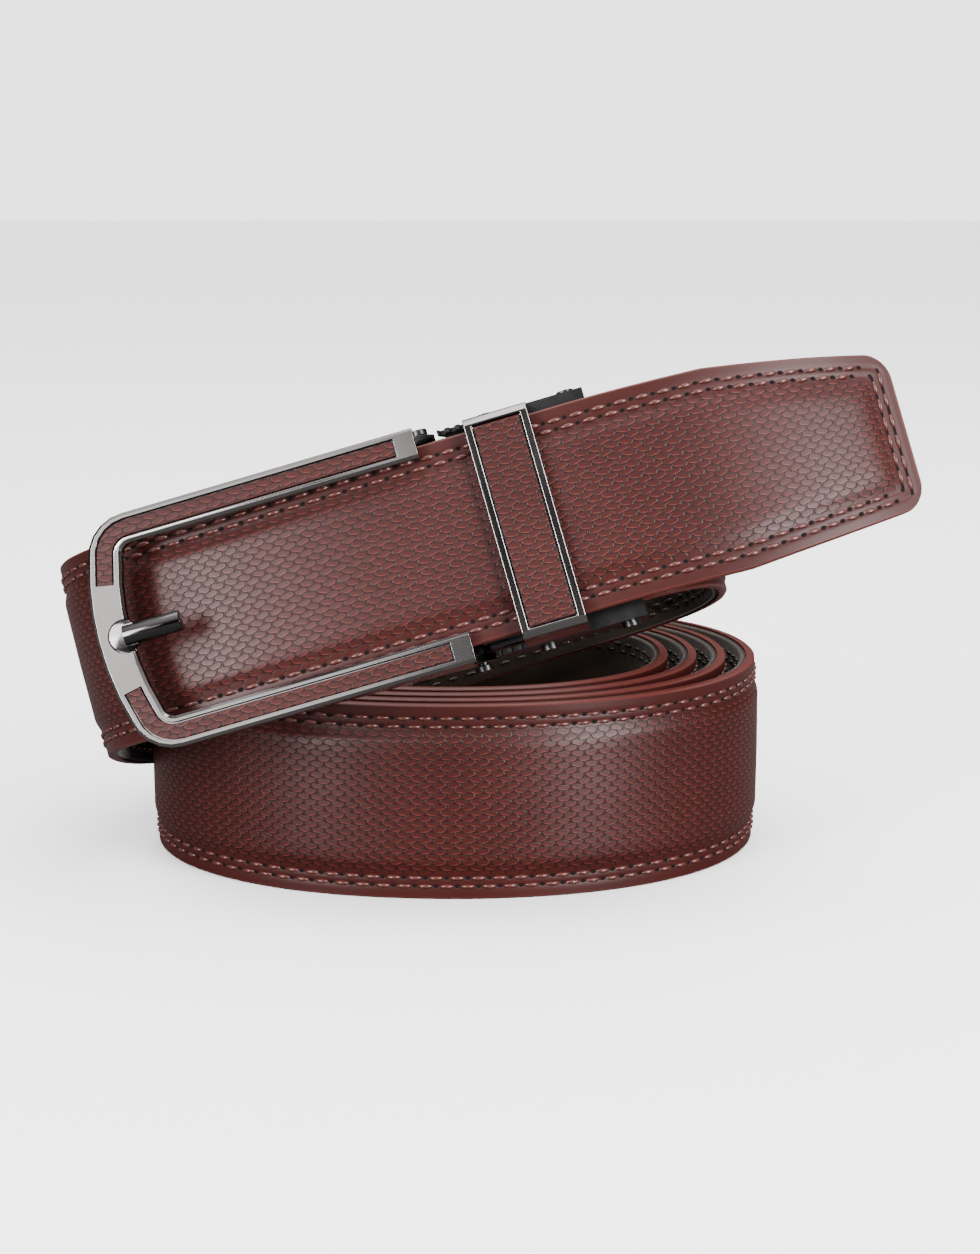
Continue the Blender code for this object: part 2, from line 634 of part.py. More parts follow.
def frame(collection, cutters, parent):
    """The pin-buckle frame: rails and a bowed bar with two leather-filled grooves, a seat for the
    prong, and a cheek under each arm that turns on the hinge pin."""
    made = add_object("frame", loft(carried(frame_line(), rail_profile)), collection, parent)
    made.location = (-HINGE_X, 0, -HINGE_Z)
    made.data.materials.append(material(GUNMETAL))
    floor = RAIL_FRONT - GROOVE_DEPTH
    half = GROOVE_WIDTH / 2
    cut = ((-half, floor), (half, floor), (half, RAIL_FRONT + CUT_SLACK), (-half, RAIL_FRONT + CUT_SLACK))
    slim, low, high = half - PIECE_GAP, floor + PIECE_GAP, RAIL_FRONT - PIECE_GAP / 2
    leather = ((-slim, low), (slim, low), (slim, high), (-slim, high))
    for upper, name in ((False, "frame_inlay_lower"), (True, "frame_inlay_upper")):
        turn = 1 if upper else -1
        reach = PIN_HOLE + CHEEK_WALL
        cheek = [(FRAME_RIGHT - CHEEK_LENGTH, RAIL_BACK + RAIL_CHAMFER),
                 (FRAME_RIGHT - RAIL_CHAMFER, RAIL_BACK + RAIL_CHAMFER),
                 (FRAME_RIGHT - RAIL_CHAMFER, HINGE_Z + 1.6 * reach)]
        cheek += [(HINGE_X + reach * math.cos(a), HINGE_Z + reach * math.sin(a))
                  for a in (math.radians(45), math.radians(10), math.radians(-30), math.radians(-70),
                            math.radians(-110), math.radians(-150))]
        wall = [(x, turn * CHEEK_OUTER, z) for x, z in cheek]
        combine(made, prism(wall, (0, -turn * CHEEK_WALL, 0)), "UNION", cutters)
        combine(made, loft(carried(groove_line(upper, 0.0), lambda wide: cut)), "DIFFERENCE", cutters)
        inlay = add_object(name, loft(carried(groove_line(upper, PIECE_GAP), lambda wide: leather)),
                           collection, parent)
        inlay.location = made.location
        inlay.data.materials.append(material(LEATHER))
    hole = rod((HINGE_X, -FRAME_WIDTH, HINGE_Z), (HINGE_X, FRAME_WIDTH, HINGE_Z), PIN_HOLE, RIVET_SIDES)
    combine(made, hole, "DIFFERENCE", cutters)
    combine(made, arm_relief(), "DIFFERENCE", cutters)
    seat = (FRAME_LEFT + BAR_WIDTH - 0.3 * PRONG_ROOT_RADIUS, 0, RAIL_BACK + PRONG_SEAT)
    combine(made, rod(seat, (seat[0], 0, RAIL_FRONT + CUT_SLACK), PRONG_ROOT_RADIUS + PIECE_GAP, 20),
            "DIFFERENCE", cutters)
    prong(seat, collection, cutters, parent)


def prong(seat, collection, cutters, parent):
    """The stub of a prong: a round root sunk in the bar and a short shaft over the window."""
    foot = Vector(seat) + Vector((0, 0, PIECE_GAP))
    top = Vector((seat[0], 0, RAIL_FRONT + PRONG_ROOT_LENGTH / 4))
    made = add_object("prong", rod(foot, top, PRONG_ROOT_RADIUS, 20), collection, parent)
    made.location = (-HINGE_X, 0, -HINGE_Z)
    made.data.materials.append(material(GUNMETAL))
    height = foot.z + PRONG_SHAFT_RADIUS
    start = (seat[0], 0, height)
    end = (seat[0] + PRONG_LENGTH, 0, height)
    combine(made, rod(start, end, PRONG_SHAFT_RADIUS, 14), "UNION", cutters)
    round_over = made.modifiers.new("round", "BEVEL")
    round_over.width = PIECE_GAP
    round_over.segments = 2
    round_over.limit_method = "ANGLE"
    round_over.angle_limit = math.radians(50)


def hinge_pin(collection, cutters, parent):
    """The pin through the cheeks and ears, with a flat head outside each cheek."""
    head = FRAME_WIDTH / 2 + PIECE_GAP
    made = add_object("hinge_pin", rod((HINGE_X, -head, HINGE_Z), (HINGE_X, head, HINGE_Z),
                                       PIN_RADIUS, RIVET_SIDES), collection, parent)
    made.data.materials.append(material(DARK_METAL))
    for turn in (1, -1):
        start = (HINGE_X, turn * (head - PIECE_GAP / 2), HINGE_Z)
        end = (HINGE_X, turn * (head + RIVET_HEIGHT), HINGE_Z)
        combine(made, rod(start, end, RIVET_RADIUS, RIVET_SIDES), "UNION", cutters)


def release_pawl(collection, cutters, parent):
    """The pawl on the hinge pin: a collar round the pin and a nose that reaches the track."""
    collar = PIN_HOLE + PAWL_COLLAR
    half = PAWL_WIDTH / 2
    made = add_object("release_pawl", rod((HINGE_X, -half, HINGE_Z), (HINGE_X, half, HINGE_Z), collar,
                                          RIVET_SIDES), collection, parent)
    made.data.materials.append(material(DARK_METAL))
    low = (HINGE_X - PAWL_NOSE / 2, -half + CHEEK_INSET, HINGE_Z + PIN_RADIUS)
    high = (HINGE_X + PAWL_NOSE / 2, half - CHEEK_INSET, PLATE_TOP)
    combine(made, box(low, high), "UNION", cutters)
    hole = rod((HINGE_X, -PAWL_WIDTH, HINGE_Z), (HINGE_X, PAWL_WIDTH, HINGE_Z), PIN_HOLE, RIVET_SIDES)
    combine(made, hole, "DIFFERENCE", cutters)


def empty(name, collection, parent, matrix):
    """A parent for pieces that lean or turn together."""
    made = bpy.data.objects.new(name, None)
    collection.objects.link(made)
    made.parent = parent
    made.matrix_local = matrix
    return made


def stand_at_origin(root, collection):
    """Move the whole belt so that the middle of its box's floor is the origin."""
    bpy.context.view_layer.update()
    graph = bpy.context.evaluated_depsgraph_get()
    corners = []
    for item in collection.objects:
        if item.type == "MESH":
            evaluated = item.evaluated_get(graph)
            corners += [evaluated.matrix_world @ vertex.co for vertex in evaluated.data.vertices]
    low = [min(corner[k] for corner in corners) for k in range(3)]
    high = [max(corner[k] for corner in corners) for k in range(3)]
    root.location = (-(low[0] + high[0]) / 2, -(low[1] + high[1]) / 2, -low[2])
    bpy.context.view_layer.update()


def main():
    """Build the belt."""
    for item in list(bpy.data.objects):
        bpy.data.objects.remove(item)
    belt = bpy.data.collections.new("ratchet_belt")
    cutters = bpy.data.collections.new("cutters")
    bpy.context.scene.collection.children.link(belt)
    bpy.context.scene.collection.children.link(cutters)

    root = empty("belt_origin", belt, None, Matrix())
    path = belt_path()
    strap(path, belt, root)
    strap_lining(path, belt, root)
    ratchet_track(path, belt, root)

    axes = Matrix((ALONG, ACROSS, OUTWARD)).transposed().to_4x4()
    buckle = empty("buckle", belt, root, Matrix.Translation(BUCKLE_CENTRE) @ axes)
    housing(belt, cutters, buckle)
    strap_clamp(belt, buckle)
    keeper(belt, cutters, buckle)
    hinge_pin(belt, cutters, buckle)
    release_pawl(belt, cutters, buckle)

    hinge = empty("frame_hinge", belt, buckle, Matrix.Translation((HINGE_X, 0, HINGE_Z)))
    frame(belt, cutters, hinge)

    stand_at_origin(root, belt)


main()
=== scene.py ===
"""Looks of the ratchet belt: embossed leather strap with its stitches, suede lining, dark nickel buckle.

Metres throughout, in the row frame: +Z up, +X to the right, +Y away from the viewer.
"""
import math

import bmesh
import bpy
import numpy as np
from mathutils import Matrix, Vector


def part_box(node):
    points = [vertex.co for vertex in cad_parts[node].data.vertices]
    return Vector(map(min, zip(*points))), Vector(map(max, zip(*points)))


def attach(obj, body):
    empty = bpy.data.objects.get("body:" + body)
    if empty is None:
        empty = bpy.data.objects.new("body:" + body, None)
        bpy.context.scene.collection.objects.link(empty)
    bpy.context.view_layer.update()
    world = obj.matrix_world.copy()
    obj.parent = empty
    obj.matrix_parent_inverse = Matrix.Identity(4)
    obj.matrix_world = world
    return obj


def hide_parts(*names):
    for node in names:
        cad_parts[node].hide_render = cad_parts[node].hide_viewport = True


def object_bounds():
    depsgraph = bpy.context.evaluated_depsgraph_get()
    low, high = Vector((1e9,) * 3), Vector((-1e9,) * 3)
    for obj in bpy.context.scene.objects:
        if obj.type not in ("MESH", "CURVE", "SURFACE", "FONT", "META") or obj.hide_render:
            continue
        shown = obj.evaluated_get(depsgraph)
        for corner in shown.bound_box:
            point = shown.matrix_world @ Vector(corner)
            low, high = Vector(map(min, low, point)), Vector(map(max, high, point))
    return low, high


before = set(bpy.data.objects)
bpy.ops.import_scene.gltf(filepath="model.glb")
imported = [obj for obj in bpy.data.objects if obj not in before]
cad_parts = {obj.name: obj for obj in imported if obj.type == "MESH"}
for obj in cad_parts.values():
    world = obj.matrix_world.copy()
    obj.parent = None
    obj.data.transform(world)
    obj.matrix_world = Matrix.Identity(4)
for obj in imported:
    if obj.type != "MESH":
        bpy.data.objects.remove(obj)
cad_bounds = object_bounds()


# The leather face: bovine leather about 1.6 mm thick, embossed between its stitch rows, drawn over a
# thin pad and turned at its borders. It runs from the clamp behind the buckle down into the coil,
# round it from the inside to the outside, up behind the frame and out under the keeper to the tip.
STRAP_WIDTH = 0.035
LEATHER_EDGE = 0.0016
LEATHER_CROWN = 0.0008
LINING_THICKNESS = 0.0009
PIECE_GAP = 0.0003
TURN_THICKNESS = LEATHER_EDGE + PIECE_GAP + LINING_THICKNESS + LEATHER_CROWN
LINING_BACK = -(TURN_THICKNESS - LEATHER_CROWN) / 2
LEATHER_BACK = LINING_BACK + LINING_THICKNESS + PIECE_GAP
LEATHER_TOP = LEATHER_BACK + LEATHER_EDGE
CLAMP_LEFT = -0.0037
HOUSING_RIGHT = 0.0153
CLAMPED_CENTRE = -0.0066
CLAMPED_ROWS = 5
RIGHT_TURN_REACH = 0.0138
LEFT_TURN_REACH = 0.0833
LEAD_DEPTH = 0.0740
COIL_HALF_SIZE = (0.0568, 0.0475)
COIL_CENTRE_X = -0.0077
COIL_SQUARENESS = 2.12
COIL_TURNS = 4
COIL_ROW_DEGREES = 20.0
TURN_AIR = {"right": 0.0019, "back": 0.0010, "left": 0.0007, "front": 0.0009}
TONGUE_LENGTH = 0.0535
TONGUE_BEND_RADIUS = 0.095
TONGUE_SWING = math.radians(-1.1)
TONGUE_ROWS = 6
TIP_WIDTH = 0.0270
TIP_TAPER = 0.0340
TIP_TAPER_POWER = 0.9
TIP_CORNER = 0.0042
SLOPE = math.radians(16.4)
LEAN = math.radians(16.0)
ALONG = np.array((math.cos(SLOPE), 0.0, math.sin(SLOPE)))
ACROSS = np.array((-math.sin(SLOPE) * math.cos(LEAN), math.sin(LEAN), math.cos(SLOPE) * math.cos(LEAN)))
OUTWARD = np.cross(ALONG, ACROSS)
BUCKLE_CENTRE = np.array((0.0060, -0.0555, 1.5 * STRAP_WIDTH + 0.0155))

CLAMPED_LEAD = np.array((
    # reach: share of the right turn's reach; depth: share of the lead's depth behind the tongue
    (0.36, 0.020), (0.72, 0.095), (0.94, 0.235), (1.00, 0.430), (0.90, 0.660), (0.52, 0.840),
    (-0.15, 0.955),
))
CLAMPED_DESCENT = np.array((
    # turn in degrees, inset in turn thicknesses, rise: share of the buckle's height, lean: share
    (62.0, 0.75, 0.575, 0.62), (90.0, 0.75, 0.440, 0.36), (120.0, 0.70, 0.310, 0.16),
    (150.0, 0.60, 0.185, 0.05), (180.0, 0.35, 0.075, 0.00), (205.0, 0.15, 0.015, 0.00),
))
FREE_CLIMB = np.array((
    # the same columns
    (1480.0, 0.00, 0.000, 0.00), (1505.0, 0.00, 0.006, 0.00), (1535.0, -0.25, 0.034, 0.06),
    (1563.0, -0.70, 0.080, 0.16), (1588.0, -1.25, 0.130, 0.32),
))
FREE_LEAD = np.array((
    # reach: share of the left turn's reach; depth: share of the lead's depth; lift: share of the
    # strap's width; lean: share
    (1.010, 0.850, 0.050, 0.55), (1.025, 0.620, 0.062, 0.80), (1.000, 0.400, 0.056, 0.97),
    (0.946, 0.230, 0.040, 1.00), (0.850, 0.115, 0.020, 1.00), (0.710, 0.050, 0.006, 1.00),
    (0.540, 0.018, 0.000, 1.00), (0.360, 0.003, 0.000, 1.00), (0.190, 0.000, 0.000, 1.00),
    (0.060, 0.000, 0.000, 1.00), (-0.060, 0.000, 0.000, 1.00),
))


def leaning(lean):
    """The across direction of each row: +Z turned to the buckle's across direction by share."""
    lean = np.asarray(lean)[:, None]
    return (1 - lean) * np.array((0.0, 0.0, 1.0)) + lean * ACROSS


def coil_rows(table):
    """Rows on the coil: a superellipse whose inward offset falls by one pitch a turn, so that the last
    turn is the outermost, with the height a share of the way up to the buckle."""
    turn, inset, rise, lean = np.asarray(table, dtype=float).T
    c, s = np.cos(np.radians(turn)), np.sin(np.radians(turn))
    size = (abs(c) ** COIL_SQUARENESS + abs(s) ** COIL_SQUARENESS) ** (-1 / COIL_SQUARENESS)
    side_air = np.where(c > 0, TURN_AIR["right"], TURN_AIR["left"])
    depth_air = np.where(s > 0, TURN_AIR["back"], TURN_AIR["front"])
    pitch = TURN_THICKNESS + side_air * c * c + depth_air * s * s
    inward = pitch * (COIL_TURNS * 360 - turn) / 360 + inset * TURN_THICKNESS
    normal = np.stack((c / COIL_HALF_SIZE[0], s / COIL_HALF_SIZE[1]))
    normal = normal / np.linalg.norm(normal, axis=0)
    x = COIL_CENTRE_X + COIL_HALF_SIZE[0] * size * c - inward * normal[0]
    y = COIL_HALF_SIZE[1] * size * s - inward * normal[1]
    z = STRAP_WIDTH / 2 + rise * (BUCKLE_CENTRE[2] - STRAP_WIDTH / 2)
    return np.column_stack((x, y, z, leaning(lean)))


def buckle_rows(x, y, z, lean):
    """Rows in the buckle's frame: its centre plus x along, y across and z outward."""
    x, y, z, lean = np.broadcast_arrays(x, y, z, lean)
    place = BUCKLE_CENTRE + x[:, None] * ALONG + y[:, None] * ACROSS + z[:, None] * OUTWARD
    return np.column_stack((place, leaning(lean)))


def belt_rows():
    """All the rows that the strap's middle line passes, from the clamped end to the tip."""
    clamped = np.linspace(CLAMP_LEFT, HOUSING_RIGHT, CLAMPED_ROWS)
    reach, depth = CLAMPED_LEAD.T
    turns = np.arange(CLAMPED_DESCENT[-1, 0] + COIL_ROW_DEGREES, FREE_CLIMB[0, 0] - COIL_ROW_DEGREES / 2,
                      COIL_ROW_DEGREES)
    flat = np.column_stack((turns, np.zeros((len(turns), 3))))
    left, back, lift, lean = FREE_LEAD.T
    bend = np.linspace(0.0, TONGUE_LENGTH / TONGUE_BEND_RADIUS, TONGUE_ROWS)
    out = TONGUE_BEND_RADIUS * np.sin(bend)
    return np.concatenate((
        buckle_rows(clamped, 0.0, CLAMPED_CENTRE, 1.0),
        buckle_rows(HOUSING_RIGHT + reach * RIGHT_TURN_REACH, 0.0,
                    CLAMPED_CENTRE - depth * (LEAD_DEPTH + CLAMPED_CENTRE), 1.0),
        coil_rows(CLAMPED_DESCENT), coil_rows(flat), coil_rows(FREE_CLIMB),
        buckle_rows(-left * LEFT_TURN_REACH, lift * STRAP_WIDTH, -back * LEAD_DEPTH, lean),
        buckle_rows(HOUSING_RIGHT + out, out * math.sin(TONGUE_SWING),
                    TONGUE_BEND_RADIUS * (np.cos(bend) - 1), 1.0)))


def belt_line(rows, spacing):
    """Even samples of the natural cubic through the rows, whose second derivatives solve one equation
    for each inner row. Gives the points, unit across and outward directions, and the running length."""
    steps = np.linalg.norm(np.diff(rows[:, :3], axis=0), axis=1)
    knots = np.concatenate(([0.0], np.cumsum(steps)))
    inner = np.arange(1, len(knots) - 1)
    system = np.eye(len(knots))
    system[inner, inner - 1] = steps[:-1]
    system[inner, inner] = 2 * (steps[:-1] + steps[1:])
    system[inner, inner + 1] = steps[1:]
    load = np.zeros_like(rows)
    load[1:-1] = 6 * np.diff(np.diff(rows, axis=0) / steps[:, None], axis=0)
    bends = np.linalg.solve(system, load)
    places = np.linspace(0.0, knots[-1], round(knots[-1] / spacing) + 1)
    span = np.clip(np.searchsorted(knots, places, side="right") - 1, 0, len(steps) - 1)
    before, after = (places - knots[span])[:, None], (knots[span + 1] - places)[:, None]
    wide = steps[span][:, None]
    read = ((bends[span] * after ** 3 + bends[span + 1] * before ** 3) / (6 * wide)
            + (rows[span] / wide - bends[span] * wide / 6) * after
            + (rows[span + 1] / wide - bends[span + 1] * wide / 6) * before)
    centre = read[:, :3]
    centre[:, 2] = np.maximum(centre[:, 2], STRAP_WIDTH / 2)
    run = np.concatenate(([0.0], np.cumsum(np.linalg.norm(np.diff(centre, axis=0), axis=1))))
    tangent = np.gradient(centre, run, axis=0)
    tangent /= np.linalg.norm(tangent, axis=1)[:, None]
    across = read[:, 3:] - (read[:, 3:] * tangent).sum(axis=1)[:, None] * tangent
    across /= np.linalg.norm(across, axis=1)[:, None]
    return centre, across, np.cross(tangent, across), run


def half_width(to_tip, trim=0.0):
    """Half of the strap's width at a distance from its tip: straight, tapered, then round corners."""
    share = np.clip(to_tip / TIP_TAPER, 0.0, 1.0)
    wide = TIP_WIDTH / 2 + (STRAP_WIDTH - TIP_WIDTH) / 2 * share ** TIP_TAPER_POWER
    inside = np.clip(TIP_CORNER - to_tip, 0.0, TIP_CORNER)
    return wide - trim - TIP_CORNER + np.sqrt(TIP_CORNER ** 2 - inside ** 2)


def on_belt(line, runs, across, outward):
    """Points at running lengths, moved by distances across the belt and outward from its middle."""
    centre, side, out, run = line
    shape = np.broadcast(runs, across, outward).shape
    runs = np.broadcast_to(runs, shape).ravel()
    read = [np.stack([np.interp(runs, run, part[:, k]) for k in range(3)], axis=-1).reshape(*shape, 3)
            for part in (centre, side, out)]
    return (read[0] + np.broadcast_to(across, shape)[..., None] * read[1]
            + np.broadcast_to(outward, shape)[..., None] * read[2])


BORDER_WIDTH = 0.0042
CROWN_SLOPE = 0.0030
DOME_RISE = 0.20
STITCH_ROWS = (0.0024, 0.0039)
STITCH_PITCH = 0.0037
STITCH_VALLEY = 0.0004
STITCH_DEPTH = 0.00012


def crown(inward):
    """Height of the face over the flat border at a distance in from the strap's edge: a cosine step up
    the pad's slope, then a slow dome, less a shallow valley along each of the two stitch rows."""
    step = np.clip((inward - BORDER_WIDTH) / CROWN_SLOPE, 0.0, 1.0)
    rise = (1 - np.cos(math.pi * step)) / 2
    dome = 1 - DOME_RISE + DOME_RISE * np.clip(inward / (STRAP_WIDTH / 2), 0.0, 1.0)
    valley = sum(np.exp(-((inward - row) / STITCH_VALLEY) ** 2) for row in STITCH_ROWS)
    return LEATHER_CROWN * rise * dome - STITCH_DEPTH * valley


def new_piece(name, points, faces):
    """An object at the origin whose mesh has the points, an array whose last axis is 3, and the faces."""
    mesh = bpy.data.meshes.new(name)
    mesh.from_pydata(points.reshape(-1, 3).tolist(), [], faces)
    mesh.update()
    made = bpy.data.objects.new(name, mesh)
    bpy.context.scene.collection.objects.link(made)
    return made


def tube(name, rings):
    """A closed skin over rings of points, an array of rings by points by 3, each ring joined to the
    next by quads, with one face over each end."""
    count, around = rings.shape[:2]
    ring, k = np.meshgrid(np.arange(count - 1), np.arange(around), indexing="ij")
    after = (k + 1) % around
    quads = np.stack((ring * around + k, ring * around + after, (ring + 1) * around + after,
                      (ring + 1) * around + k), axis=-1).reshape(-1, 4).tolist()
    ends = [list(range(around))[::-1], list(range((count - 1) * around, count * around))]
    return new_piece(name, rings, quads + ends)


MM_PER_METRE = 1000.0


def lay_out(made, along, across, inward):
    """Give each point its place on the flat leather as a UV map in metres, and its distance in from the
    edge as an attribute in millimetres."""
    mesh = made.data
    corner = np.empty(len(mesh.loops), dtype=np.int32)
    mesh.loops.foreach_get("vertex_index", corner)
    places = np.stack((along.ravel()[corner], across.ravel()[corner]), axis=1)
    mesh.uv_layers.new(name="flat").data.foreach_set("uv", places.ravel().astype(np.float32))
    held = mesh.attributes.new("inward", "FLOAT", "POINT")
    held.data.foreach_set("value", (MM_PER_METRE * inward).ravel().astype(np.float32))


def smooth(made, degrees):
    """Shade smooth, with edges sharper than the angle kept sharp."""
    made.data.shade_smooth()
    made.data.set_sharp_from_angle(angle=math.radians(degrees))


STRAP_STEP = 0.002
STRAP_CREASE = 50
EDGE_ROUND = 0.0005
EDGE_TURNS = np.radians((0.0, 30.0, 60.0))
TIP_TURNS = np.radians(np.arange(0.0, 91.0, 10.0))
# Distances in from the edge, close together over the stitch valleys and the pad's slope
FACE_PLACES = (0.0003, 0.0007, 0.0012, 0.0017, 0.0021, 0.0024, 0.0027, 0.0031, 0.0036, 0.0039,
               BORDER_WIDTH, 0.0046, 0.0051, 0.0056, 0.0061, 0.0066, BORDER_WIDTH + CROWN_SLOPE, 0.0092,
               0.0116, 0.0145)
BACK_SHARES = np.array((-1.0, -0.5, 0.0, 0.5, 1.0))
line = belt_line(belt_rows(), STRAP_STEP)
length = line[3][-1]
tip_places = length - TIP_CORNER * (1 - np.sin(TIP_TURNS))
runs = np.concatenate((line[3][line[3] < tip_places[0] - STRAP_STEP / 3], tip_places))
rim = np.array(FACE_PLACES) / (STRAP_WIDTH / 2)
turned = EDGE_ROUND * (1 - np.cos(EDGE_TURNS)) / (STRAP_WIDTH / 2)
shares = np.concatenate((turned, rim))
drop = np.concatenate((EDGE_ROUND * (1 - np.sin(EDGE_TURNS)), np.zeros(len(rim))))
half = half_width(length - runs)[:, None]
top_in = np.concatenate((shares, (1.0,), shares[::-1]))[None, :] * half
top_side = np.concatenate((np.ones(len(shares)), (0.0,), -np.ones(len(shares))))[None, :]
top_drop = np.concatenate((drop, (0.0,), drop[::-1]))[None, :]
top_out = LEATHER_TOP - top_drop + crown(np.minimum(top_in, (length - runs)[:, None]))
back_across = BACK_SHARES[None, :] * half
face_across = np.concatenate((top_side * (half - top_in), back_across), axis=1)
face_out = np.concatenate((top_out, np.full(back_across.shape, LEATHER_BACK)), axis=1)
rings = on_belt(line, runs[:, None], face_across, face_out)
raw_low, raw_high = rings.reshape(-1, 3).min(axis=0), rings.reshape(-1, 3).max(axis=0)
cad_low, cad_high = (np.array(corner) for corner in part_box("strap"))
placed = (cad_low + cad_high - raw_low - raw_high) / 2
placed[2] = cad_low[2] - raw_low[2]
line = (line[0] + placed, *line[1:])
strap_leather = tube("strap_leather", rings + placed)
from_tip = (length - runs)[:, None]
face_in = np.minimum(np.concatenate((top_in, np.zeros(back_across.shape)), axis=1), from_tip)
lay_out(strap_leather, np.broadcast_to(runs[:, None], face_across.shape), face_across, face_in)
smooth(strap_leather, STRAP_CREASE)


def linear(hex_colour):
    """An sRGB hex colour as linear RGBA: the low end divided by 12.92, the rest by the 2.4 power."""
    parts = np.array([int(hex_colour[k:k + 2], 16) for k in (1, 3, 5)]) / 255
    curve = np.where(parts <= 0.04045, parts / 12.92, ((parts + 0.055) / 1.055) ** 2.4)
    return (*curve.tolist(), 1.0)


def add_node(tree, kind, settings=(), links=()):
    """One shader node. Settings are (input or property, value) pairs; links are (input, socket) pairs."""
    node = tree.nodes.new(kind)
    for name, value in settings:
        if isinstance(name, str) and name not in node.inputs:
            setattr(node, name, value)
        else:
            node.inputs[name].default_value = value
    for name, socket in links:
        tree.links.new(node.inputs[name], socket)
    return node


def new_material(name):
    """An empty node material with its output: the material, its tree and the output node."""
    made = bpy.data.materials.new(name)
    made.use_nodes = True
    made.node_tree.nodes.clear()
    return made, made.node_tree, add_node(made.node_tree, "ShaderNodeOutputMaterial")


# Semi-aniline cowhide with a plate-embossed weave: rows of tiles, 2.5 mm along and 1 mm across the
# strap. Each row is shifted by half a tile and leans the other way. A tile starts deep at its upper end
# and rises to its lower rim. Its colour follows that height: painted shade in the grooves and at the deep
# end, the leather's red in the body, and a painted highlight on the paler lower rim. The borders are
# plain, and each stitch dives into a hole painted dark as shade.
CELL_LENGTH = 2.5
CELL_HEIGHT = 1.0
CELL_LEAN = 0.23
CELL_SLANT = 0.45
CELL_FILL = (1.17, 0.51)
CELL_STRAY = (0.50, 0.30, 0.0)
CELL_EDGE = (0.72, 1.25)
UPPER_END = 1.0
LOWER_END = 0.35
PLAIN_BORDER = (4.2, 4.9)
PLAIN_HEIGHT = 0.55
PAINTED_RIM = (0.10, 0.55)
HOLE_RADIUS = (0.62, 0.42)
HOLE_EDGE = (0.55, 1.05)
PORE_SHARE = 0.12
# The colour ramp over the emboss height: painted shade in the grooves and deep ends, then the leather's red,
# then a painted highlight on the lower rims
GROOVE_SHADE = "#200b0a"
TILE_BODY_SHADES = ((0.35, "#2e0f0d"), (0.83, "#391411"))
RIM_HIGHLIGHT = (0.94, "#552b27")
CLOUD_TONES = ((0.30, "#e2d8d8"), (0.70, "#ffffff"))
EDGE_PAINT = "#4d231f"
# Painted shade: the colour put over each stitch hole, near black
HOLE_SHADE = "#060202"
LEATHER_ROUGHNESS = (0.44, 0.35)
HOLE_ROUGHNESS = 0.95
leather, tree, output = new_material("embossed_cowhide")
flat = add_node(tree, "ShaderNodeUVMap", (("uv_map", "flat"),)).outputs["UV"]
flat_mm = add_node(tree, "ShaderNodeVectorMath", (("operation", "SCALE"), ("Scale", MM_PER_METRE)),
                   ((0, flat),)).outputs["Vector"]
wander = add_node(tree, "ShaderNodeTexNoise", (("Scale", 0.7), ("Detail", 1.0)), (("Vector", flat_mm),))
wander = add_node(tree, "ShaderNodeVectorMath", (("operation", "MULTIPLY_ADD"), (1, CELL_STRAY)),
                  ((0, wander.outputs["Color"]), (2, flat_mm)))
place = add_node(tree, "ShaderNodeSeparateXYZ", (), ((0, wander.outputs["Vector"]),))
u, v = place.outputs["X"], place.outputs["Y"]
row = add_node(tree, "ShaderNodeMath", (("operation", "DIVIDE"), (1, CELL_HEIGHT)), ((0, v),))
row_number = add_node(tree, "ShaderNodeMath", (("operation", "FLOOR"),), ((0, row.outputs[0]),))
odd = add_node(tree, "ShaderNodeMath", (("operation", "PINGPONG"), (1, 1.0)), ((0, row_number.outputs[0]),))
shifted = add_node(tree, "ShaderNodeMath", (("operation", "MULTIPLY_ADD"), (1, CELL_LENGTH / 2)),
                   ((0, odd.outputs[0]), (2, u)))
cell_u = add_node(tree, "ShaderNodeMath",
                  (("operation", "WRAP"), (1, CELL_LENGTH / 2), (2, -CELL_LENGTH / 2)),
                  ((0, shifted.outputs[0]),))
cell_v = add_node(tree, "ShaderNodeMath", (("operation", "WRAP"), (1, CELL_HEIGHT), (2, 0.0)), ((0, v),))
lean = add_node(tree, "ShaderNodeMath",
                (("operation", "MULTIPLY_ADD"), (1, -2 * CELL_LEAN), (2, CELL_LEAN)),
                ((0, odd.outputs[0]),))
leant = add_node(tree, "ShaderNodeMath", (("operation", "MULTIPLY_ADD"),),
                 ((0, cell_u.outputs[0]), (1, lean.outputs[0]), (2, cell_v.outputs[0])))
slant = add_node(tree, "ShaderNodeMath",
                 (("operation", "MULTIPLY_ADD"), (1, 2 * CELL_SLANT), (2, -CELL_SLANT)),
                 ((0, odd.outputs[0]),))
above_middle = add_node(tree, "ShaderNodeMath", (("operation", "SUBTRACT"), (1, CELL_HEIGHT / 2)),
                        ((0, cell_v.outputs[0]),))
slanted = add_node(tree, "ShaderNodeMath", (("operation", "MULTIPLY_ADD"),),
                   ((0, above_middle.outputs[0]), (1, slant.outputs[0]), (2, cell_u.outputs[0])))
from_middle = add_node(tree, "ShaderNodeCombineXYZ", (),
                       (("X", slanted.outputs[0]), ("Y", leant.outputs[0])))
from_middle = add_node(tree, "ShaderNodeVectorMath",
                       (("operation", "MULTIPLY_ADD"), (1, (1 / CELL_FILL[0], 1 / CELL_FILL[1], 0.0)),
                        (2, (0.0, -CELL_HEIGHT / 2 / CELL_FILL[1], 0.0))),
                       ((0, from_middle.outputs["Vector"]),))
